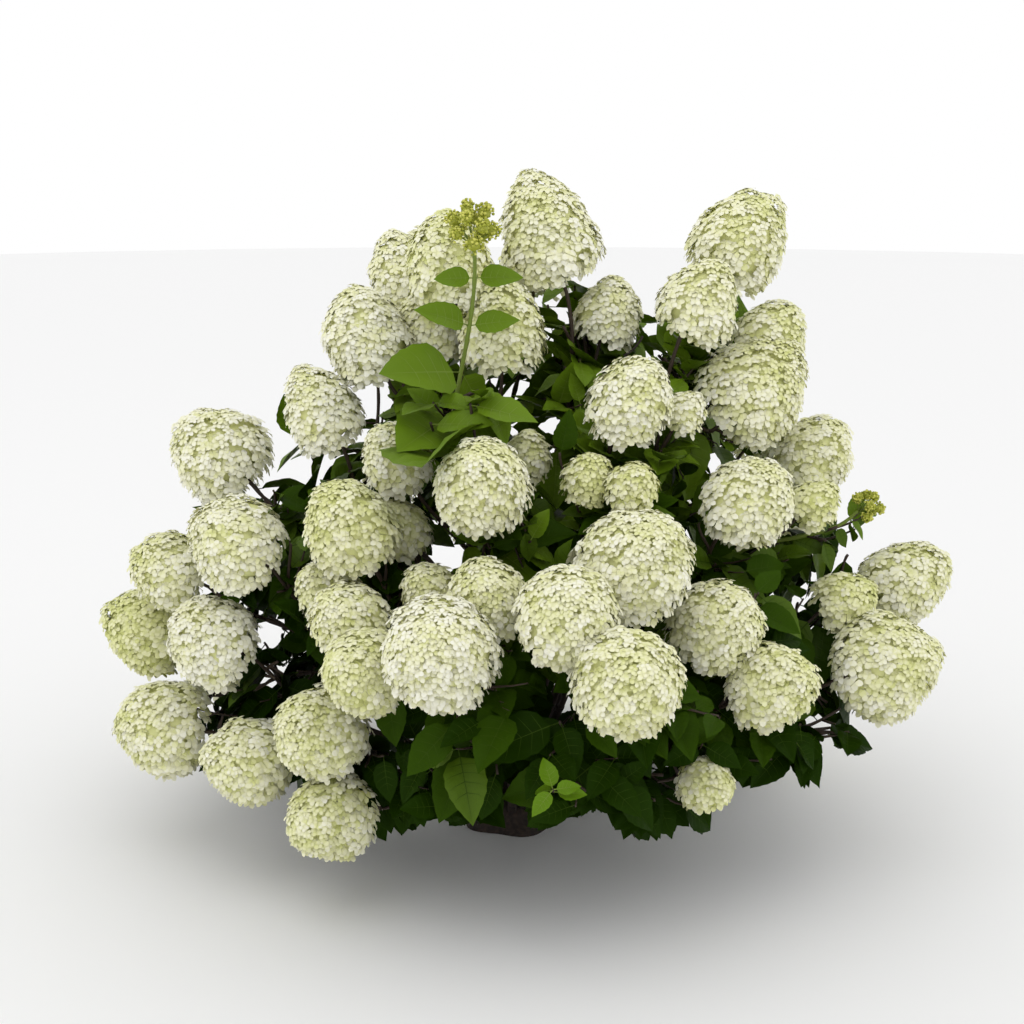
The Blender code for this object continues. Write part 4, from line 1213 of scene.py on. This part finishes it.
def add_blades(pile, leaves, rng):
    """Every leaf's blade and stalk, folded, quilted between the veins and curled down to its tip."""
    net, faces, veins = blade_net()
    root, ahead, face, length, curl, tone = (
        np.array([leaf[key] for leaf in leaves])[:, None]
        for key in ("root", "ahead", "face", "length", "curl", "tone")
    )
    side = np.cross(ahead, face)
    along = BLADE_START + (1 - BLADE_START) * net[:, 0]
    across, rise, wavy = net[:, 1], net[:, 2], net[:, 3]
    fold = rng.uniform(*BLADE_FOLDS, len(leaves))[:, None]
    phase = rng.uniform(0, 2 * math.pi, len(leaves))[:, None]
    wave = BLADE_WAVE * wavy * np.sin(2 * math.pi * BLADE_WAVES * along + phase + np.sign(across) * WAVE_LAG)
    twist = rng.uniform(-BLADE_TWIST, BLADE_TWIST, len(leaves))[:, None] * along * across
    above = rise * fold + wave + twist - curl * along**2
    spread = ahead * along[:, None] + side * across[:, None] + face * above[..., None]
    # the veins of leaves in painted shade take the darker vein colour
    veined = len(LEAF_TONES) + (tone >= MATURE_HALF_SHADE)
    pile.add_copies(root + spread * length[..., None], faces, np.where(veins, veined, tone))
    ring = circle(side, face, turns_round(3)) * STALK_RADIUS
    end = ahead * BLADE_START * STALK_REACH - face * curl[..., None] * BLADE_START**2
    stalks = np.concatenate([root + ring, root + end * length[..., None] + ring * VEIN_TAPER], axis=1)
    pile.add_copies(stalks, net_faces(2, 3), np.broadcast_to(veined, (len(leaves), 6)))


def add_limb(pile, limb, slot, relief, rng):
    """A tapered round limb with closed ends, and relief by a function of turn and place along it."""
    turn = turns_round(limb.sides)
    points = np.array(limb.points)[:, None]
    across = np.array([frame[1] for frame in limb.frames])[:, None]
    other = np.array([frame[2] for frame in limb.frames])[:, None]
    radius = np.array(limb.radii)[:, None] * relief(turn[None], np.array(limb.reached)[:, None], rng)
    rings = points + circle(across, other, turn) * radius[..., None]
    rows, sides = rings.shape[:2]
    last = (rows - 1) * sides
    caps = [(0, k + 1, k) for k in range(1, sides - 1)]
    caps += [(last, last + k, last + k + 1) for k in range(1, sides - 1)]
    pile.add(rings, np.concatenate([net_faces(rows, sides), np.array(caps)]), slot)


def joints(place, step, start, length):
    """How much a limb swells at its joints, from 0 to 1, at places along it."""
    return np.exp(-((np.abs((place / step + start) % 1 - 0.5) * step / length) ** 2))


def twig_relief(turn, place, rng):
    """Swollen joints where leaf pairs stand."""
    return 1 + TWIG_JOINTS * joints(place, PAIR_STEP * 1.05, rng.uniform(), TWIG_JOINT_LENGTH) + 0 * turn


def bark_relief(turn, place, rng):
    """Furrows along the limb, plates between them and swollen joints."""
    phase = rng.uniform(0, 2 * math.pi, 4)
    furrow = np.sin(3 * turn + 9 * place + phase[0]) * np.sin(2 * turn - 23 * place + phase[1])
    fine = np.sin(5 * turn + 61 * place + phase[2]) * np.sin(4 * turn - 140 * place + phase[3])
    swell = joints(place, BARK_JOINT_STEP, phase[0], BARK_JOINT_LENGTH)
    return 1 + BARK_FURROWS * furrow + BARK_PLATES * fine + BARK_JOINTS * swell


def add_stool(pile, rng):
    """The root stool, its dome cracked into plates and its foot left flat."""
    net = stool_net()
    turn = np.arctan2(net[..., 1], net[..., 0])
    height = net[..., 2]
    phase = rng.uniform(0, 2 * math.pi, 4)
    rough = np.abs(np.sin(6 * turn + 80 * height + phase[0]))
    rough = 0.55 * (rough + np.abs(np.sin(9 * turn - 150 * height + phase[1])))
    rough = rough + 0.4 * np.sin(23 * turn + 300 * height + phase[2])
    inward = -net * np.array([1, 1, 0.35])
    depth = STOOL_ROUGHNESS * rough * (height > 0) * (height < STOOL_HEIGHT * 0.97)
    pile.add(net + inward * depth[..., None], net_faces(*net.shape[:2]), 0)


def floret_size(share):
    """How large the florets are at a share of a head's length: small towards the top."""
    return 1 - (1 - FLORET_TOP_SIZE) * share**FLORET_SIZE_CURVE


def settle(points, head):
    """Flattens a head below its middle, and raises it a little where it leans to the front."""
    middle = head_foot(head) + head["axis"] * head["length"] * HEAD_MIDDLE
    below = np.minimum(points[..., 2] - middle.z, 0)
    points[..., 2] += HEAD_RAISE * max(0.0, -head["axis"].y) - below * UNDERSIDE_FLAT
    return points


def head_relief(rng):
    """What a head's surface swells by: its clumps' middles, as directions, and waves with their phases."""
    index = np.arange(CLUMPS_PER_HEAD) + 0.5
    tilt = np.arccos(1 - 2 * index / CLUMPS_PER_HEAD)
    spin = index * GOLDEN_TURN + rng.uniform(0, 6)
    clumps = np.stack([np.sin(tilt) * np.cos(spin), np.sin(tilt) * np.sin(spin), np.cos(tilt)], axis=1)
    clumps = unit(clumps + rng.normal(0, CLUMP_STRAY, clumps.shape))
    return clumps, rng.normal(0, LUMP_WAVES, (3, 4)), rng.uniform(0, 6, 4)


def head_lumps(way, relief):
    """How far a head swells out or sinks in these directions, of its depth."""
    _, waves, phases = relief
    return HEAD_LUMPS * np.sin(way @ waves + phases).mean(axis=-1)


def head_frame(head):
    """A head's foot, its axis and two directions square to that, as arrays."""
    axis, across = np.array(head["axis"]), np.array(head["axis"].orthogonal().normalized())
    return np.array(head_foot(head)), axis, across, np.cross(axis, across)


def head_places(head, relief, count, depth, rng):
    """Places spread evenly over a head: points, outward directions, share of the length and clump swell."""
    shares = np.linspace(FLORETS_FROM, 1.0, PROFILE_STEPS)
    radii = np.array([head_profile(share) for share in shares]) * head["width"] / 2
    rise = np.gradient(shares * head["length"])
    fall = np.gradient(radii)
    area = np.cumsum((radii + PROFILE_EDGE) * np.hypot(rise, fall) / floret_size(shares) ** 2)
    share = np.interp((np.arange(count) + rng.uniform(*PLACE_STRAY, count)) / count * area[-1], area, shares)
    turn = np.arange(count) * GOLDEN_TURN + rng.uniform(-TURN_STRAY, TURN_STRAY, count) + rng.uniform(0, 6)
    radius = np.interp(share, shares, radii)
    slope = np.arctan2(np.interp(share, shares, fall), np.interp(share, shares, rise))
    foot, axis, across, other = head_frame(head)
    radial = circle(across, other, turn)
    outward = radial * np.cos(slope)[:, None] - axis * np.sin(slope)[:, None]
    from_middle = radial * radius[:, None] + axis * (head["length"] * (share - HEAD_MIDDLE))[:, None]
    way = unit(from_middle)
    clumps = relief[0]
    apart = np.arccos(np.clip(way @ clumps.T, -1, 1))
    nearest = apart.argmin(axis=1)
    swell = np.exp(-((apart.min(axis=1) / CLUMP_SPREAD) ** 2))
    middle = foot + axis * head["length"] * HEAD_MIDDLE
    depth = depth + rng.normal(0, FLORET_DEPTH_STRAY, count) + CLUMP_SWELL * (swell - 0.5)
    depth += head_lumps(way, relief)
    depth += RIM_STRAY * np.clip(1 - share / RIM_SHARE, 0, 1) * rng.uniform(0, 1, count) ** 2
    points = settle(middle + from_middle * depth[:, None], head)
    outward = unit(outward + (way - clumps[nearest]) * CLUMP_TURN)
    return points, outward, share, swell


def add_florets(pile, head, relief, count, depth, greener, rng):
    """Florets of four petals, facing out from their clump and a little up, in shades by their place, greener
    between clumps as painted shade.
    """
    points, outward, share, swell = head_places(head, relief, count, depth, rng)
    outward[:, 2] = np.maximum(outward[:, 2], FLORET_LOWEST)
    high = np.clip(outward[:, 2:], 0, 1)
    stray = FLORET_STRAY * rng.normal(0, 1, outward.shape)
    facing = unit(outward + np.array(UP) * FLORET_LIFT * (1 - LIFT_AT_TOP * high) + stray)
    size = rng.uniform(*FLORET_RADIUS, count) * floret_size(share)
    first = unit(np.cross(facing, rng.normal(0, 1, facing.shape)))
    second = np.cross(facing, first)
    # greener, and with it darker, in the hollows between clumps: painted shade
    green = HEAD_GREEN * head["green"] + TOP_GREEN * (share - MID_SHARE) - HOLLOW_SHADE_GREEN * (swell - MID_SWELL)
    green = green + greener + rng.normal(0, GREEN_STRAY, count)
    most = len(PETAL_SHADES) - 1
    shade = np.clip(np.round((1 - green) * most), 1, most).astype(int)
    rim = RIM_TILT * np.clip(1 - share / RIM_SHARE, 0, 1)[:, None]
    net = np.array(PETAL_NET)
    faces = np.array(PETAL_FACES)
    for k in range(4):
        way = circle(first, second, k * math.pi / 2 + rng.normal(0, PETAL_TURN_STRAY, count))
        side = np.cross(facing, way)
        tilt = rng.uniform(*PETAL_TILT, count)[:, None] + rim
        out = way * np.cos(tilt) + facing * np.sin(tilt)
        above = facing * np.cos(tilt) - way * np.sin(tilt)
        length = size * (PETAL_PAIR if k % 2 else 1.0) * rng.uniform(*PETAL_SIZES, count)
        frame = out[:, None] * net[:, :1] + side[:, None] * net[:, 1:2] + above[:, None] * net[:, 2:]
        odd = rng.integers(-1, 2, count) * (rng.uniform(size=count) < ODD_PETALS)
        own = np.clip(shade + odd, 1, most)
        slots = np.repeat(own[:, None], len(faces), axis=1)
        slots[:, :PETAL_BASE_FACES] -= 1
        pile.add_copies(points[:, None] + frame * length[:, None, None], faces, slots)


def head_area(head):
    """The surface that a head's florets have to cover, in square metres."""
    return math.pi * head["width"] * head["length"]


def add_core(pile, head, relief, rng):
    """The shaded inside of a flower head, under its florets."""
    base, axis, across, other = head_frame(head)
    share = np.linspace(0.0, 1.0, CORE_RINGS)
    radius = np.array([head_profile(s) for s in share]) * head["width"] / 2 * CORE_DEPTH
    radius = radius[:, None] * rng.uniform(*CORE_STRAY, (CORE_RINGS, CORE_SIDES))
    reach = head["length"] * (CORE_START + CORE_LENGTH * share)
    ring = circle(across, other, turns_round(CORE_SIDES))
    points = base + axis * reach[:, None, None] + ring[None] * radius[..., None]
    middle = base + axis * head["length"] * HEAD_MIDDLE
    points = middle + (points - middle) * (1 + head_lumps(unit(points - middle), relief))[..., None]
    pile.add(settle(points, head), net_faces(CORE_RINGS, CORE_SIDES), 0)


def bead_ball():
    """A ball of twenty faces."""
    golden = (1 + math.sqrt(5)) / 2
    points = []
    for a, b in itertools.product((-1, 1), (-golden, golden)):
        points += [(0, a, b), (a, b, 0), (b, 0, a)]
    points = unit(np.array(points, float))
    apart = np.linalg.norm(points[:, None] - points[None], axis=2)
    side = np.partition(apart, 1, axis=1)[0, 1] * 1.01
    faces = []
    for i, j, k in itertools.combinations(range(12), 3):
        if max(apart[i, j], apart[j, k], apart[i, k]) < side:
            flat = np.cross(points[j] - points[i], points[k] - points[i]) @ points[i]
            faces.append((i, j, k) if flat > 0 else (i, k, j))
    return points, np.array(faces)


def add_buds(pile, twigs, head, rng):
    """A green bud cluster: clumps of beads on short stalks from the end of its twig."""
    ball, faces = bead_ball()
    foot, axis, across, other = head_frame(head)
    clumps = max(LEAST_CLUMPS, round(head["width"] * CLUMPS_PER_WIDTH))
    index = np.arange(clumps) + 0.5
    tilt = np.arccos(1 - CLUMP_FALL * index / clumps)
    spin = index * GOLDEN_TURN
    half = head["width"] / 2 * (1 - CLUMP_RADIUS)
    rise = head["length"] * BUD_RISE
    for t, s in zip(tilt, spin):
        middle = foot + axis * (head["length"] * BUD_MIDDLE + rise * math.cos(t))
        middle = middle + (across * math.cos(s) + other * math.sin(s)) * half * math.sin(t)
        radius = head["width"] * CLUMP_RADIUS * rng.uniform(*CLUMP_SIZES)
        ways = unit(rng.normal(0, 1, (BEADS_PER_CLUMP, 3)) + (middle - foot) / head["length"])
        centres = middle + ways * radius * rng.uniform(*BEAD_DEPTHS, (BEADS_PER_CLUMP, 1))
        sizes = rng.uniform(*BEAD_RADIUS, BEADS_PER_CLUMP)[:, None, None]
        slots = np.repeat(rng.integers(0, 2, BEADS_PER_CLUMP)[:, None], len(faces), axis=1)
        pile.add_copies(centres[:, None] + ball * sizes, faces, slots)
        pile.add(middle + ball * radius * CLUMP_HEART, faces, 0)
        root = Vector(foot + axis * head["length"] * STALK_FOOT)
        tip = Vector(middle)
        path = [root, root.lerp(tip, STALK_BEND) + UP * STALK_LIFT, tip]
        stalk = Limb(path, *BEAD_STALK, STALK_SIDES, GREEN_TWIG)
        add_limb(twigs, stalk, stalk.tone, twig_relief, rng)


def add_node(made, kind, values=()):
    """A new node in a material, with these numbers on its sockets."""
    node = made.node_tree.nodes.new("ShaderNode" + kind)
    for socket, value in values:
        node.inputs[socket].default_value = value
    return node


def link(made, source, output, target, socket):
    made.node_tree.links.new(source.outputs[output], target.inputs[socket])


def material(name, colour, finish):
    """A material of plain colour, with fine relief and roughness from noise in the object's own space."""
    roughness, gloss, scale, strength, depth, (least, most) = finish
    made = bpy.data.materials.new(name)
    made.use_nodes = True
    shader = made.node_tree.nodes["Principled BSDF"]
    shader.inputs["Base Color"].default_value = (*colour, 1)
    shader.inputs["Roughness"].default_value = roughness
    shader.inputs["Metallic"].default_value = 0.0
    shader.inputs["Specular IOR Level"].default_value = gloss
    place = add_node(made, "TexCoord")
    noise = add_node(made, "TexNoise", (("Scale", scale), ("Detail", GRAIN_DETAIL)))
    bump = add_node(made, "Bump", (("Strength", strength), ("Distance", depth)))
    spread = add_node(made, "MapRange", (("To Min", least), ("To Max", most)))
    link(made, place, "Object", noise, "Vector")
    link(made, noise, "Fac", bump, "Height")
    link(made, bump, "Normal", shader, "Normal")
    link(made, noise, "Fac", spread, "Value")
    link(made, spread, "Result", shader, "Roughness")
    return made, shader, noise


def leaf_material(name, colour):
    return material(name, colour, LEAF_FINISH if max(colour) > DARK_LEAF else DARK_LEAF_FINISH)[0]


def plain_material(name, colour, roughness):
    finish = (roughness, *PLAIN_FINISH, (roughness - 0.08, roughness + 0.12))
    return material(name, colour, finish)[0]


def bark_material():
    """Grey-brown bark: flaking plates from stretched noise, with lighter ridges."""
    made, shader, noise = material("bark", BARK_COLOUR[1], BARK_FINISH)
    noise.inputs["Distortion"].default_value = BARK_DISTORTION
    ramp = add_node(made, "ValToRGB")
    for element, position, colour in zip(ramp.color_ramp.elements, BARK_RAMP, BARK_COLOUR):
        element.position = position
        element.color = (*colour, 1)
    link(made, noise, "Fac", ramp, "Fac")
    link(made, ramp, "Color", shader, "Base Color")
    return made


def dress(plan):
    """Makes the pieces of every zone, and the limbs' bark, from the plan."""
    petals = [material(*shade, PETAL_FINISH)[0] for shade in PETAL_SHADES]
    blades = [leaf_material(*tone) for tone in LEAF_TONES + VEIN_TONES]
    twig_tones = [plain_material(*tone, TWIG_ROUGHNESS) for tone in TWIG_TONES]
    bead_tones = [plain_material(*tone, BEAD_ROUGHNESS) for tone in BEAD_TONES]
    core = [plain_material("head_core", CORE_COLOUR, CORE_ROUGHNESS)]
    rng = np.random.default_rng(SEED)
    twigs, cores, beads, bark = Pile(), Pile(), Pile(), Pile()
    everything = ["mass_" + name for name in plan]
    with_heads = []
    for zone, names in ZONES.items():
        florets, leaves = Pile(), Pile()
        nodes = ["mass_" + name for name in names]
        for name in names:
            mass = plan[name]
            add_blades(leaves, mass["leaves"], rng)
            for limb in mass["twigs"] + mass["branches"] + mass["shoots"]:
                add_limb(twigs, limb, limb.tone, twig_relief, rng)
            for head in mass["heads"]:
                if not head["width"]:
                    continue
                if head["green"] == BUD:
                    add_buds(beads, twigs, head, rng)
                    continue
                count = head_area(head) * FLORETS_PER_AREA
                inner = round(count * FLORET_INNER_SHARE)
                relief = head_relief(rng)
                add_florets(florets, head, relief, round(count) - inner, FLORET_OUTER_DEPTH, 0.0, rng)
                # the inner florets in a greener, darker shade: their own green and painted shade in the gaps
                add_florets(florets, head, relief, inner, FLORET_INNER_DEPTH, INNER_GREEN_AND_SHADE, rng)
                add_core(cores, head, relief, rng)
                with_heads.append("mass_" + name)
        florets.make("petals_" + zone, petals, "petals", [n for n in nodes if n != "mass_front_foot"])
        leaves.make("leaves_" + zone, blades, "leaves", nodes)
    for mass in plan.values():
        add_limb(bark, mass["bough"], 0, bark_relief, rng)
    add_stool(bark, rng)
    limbs = ["bough_" + name for name in plan]
    bark.make("bark_of_limbs", [bark_material()], "bark", ["root_stool", *limbs])
    twigs.make("twigs", twig_tones, "bark", everything)
    cores.make("head_cores", core, "petals", sorted(set(with_heads)))
    beads.make("bud_beads", bead_tones, "petals", ["mass_upper_front", "mass_right"])


def look_at(thing, target):
    thing.rotation_euler = (Vector(target) - thing.location).to_track_quat("-Z", "Y").to_euler()


def add_camera():
    eye, _, _ = eye_lines()
    lens = bpy.data.cameras.new("camera")
    lens.sensor_width = SENSOR_WIDTH
    lens.lens = SENSOR_WIDTH * EYE_DISTANCE / (2 * VIEW_HALF_WIDTH)
    camera = add_object("camera", lens)
    camera.location = eye
    look_at(camera, (0, 0, AIM_HEIGHT))
    bpy.context.scene.camera = camera


def add_floor():
    """A wide pale disc."""
    turns = [k * math.tau / FLOOR_SIDES for k in range(FLOOR_SIDES)]
    rim = [(math.cos(turn) * FLOOR_RADIUS, math.sin(turn) * FLOOR_RADIUS, 0) for turn in turns]
    mesh = bpy.data.meshes.new("floor")
    mesh.from_pydata(rim, [], [tuple(range(FLOOR_SIDES))])
    mesh.materials.append(material("floor", FLOOR_COLOUR, FLOOR_FINISH)[0])
    floor = add_object("floor", mesh)


def add_light():
    """An even pale sky and one large soft lamp from the upper left."""
    world = bpy.data.worlds.new("world")
    world.use_nodes = True
    sky = world.node_tree.nodes["Background"]
    sky.inputs["Color"].default_value = (*SKY_COLOUR, 1)
    sky.inputs["Strength"].default_value = SKY_STRENGTH
    bpy.context.scene.world = world
    lamp = bpy.data.lights.new("key", "AREA")
    lamp.shape = "DISK"
    lamp.size = KEY_SIZE
    lamp.energy = KEY_POWER
    key = add_object("key", lamp)
    key.location = KEY_PLACE
    look_at(key, (0, 0, AIM_HEIGHT))
    bpy.context.scene.view_settings.view_transform = "Standard"


def main():
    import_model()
    plan = grow()
    print("leaves", sum(len(mass["leaves"]) for mass in plan.values()))
    dress(plan)
    add_camera()
    add_floor()
    add_light()


main()
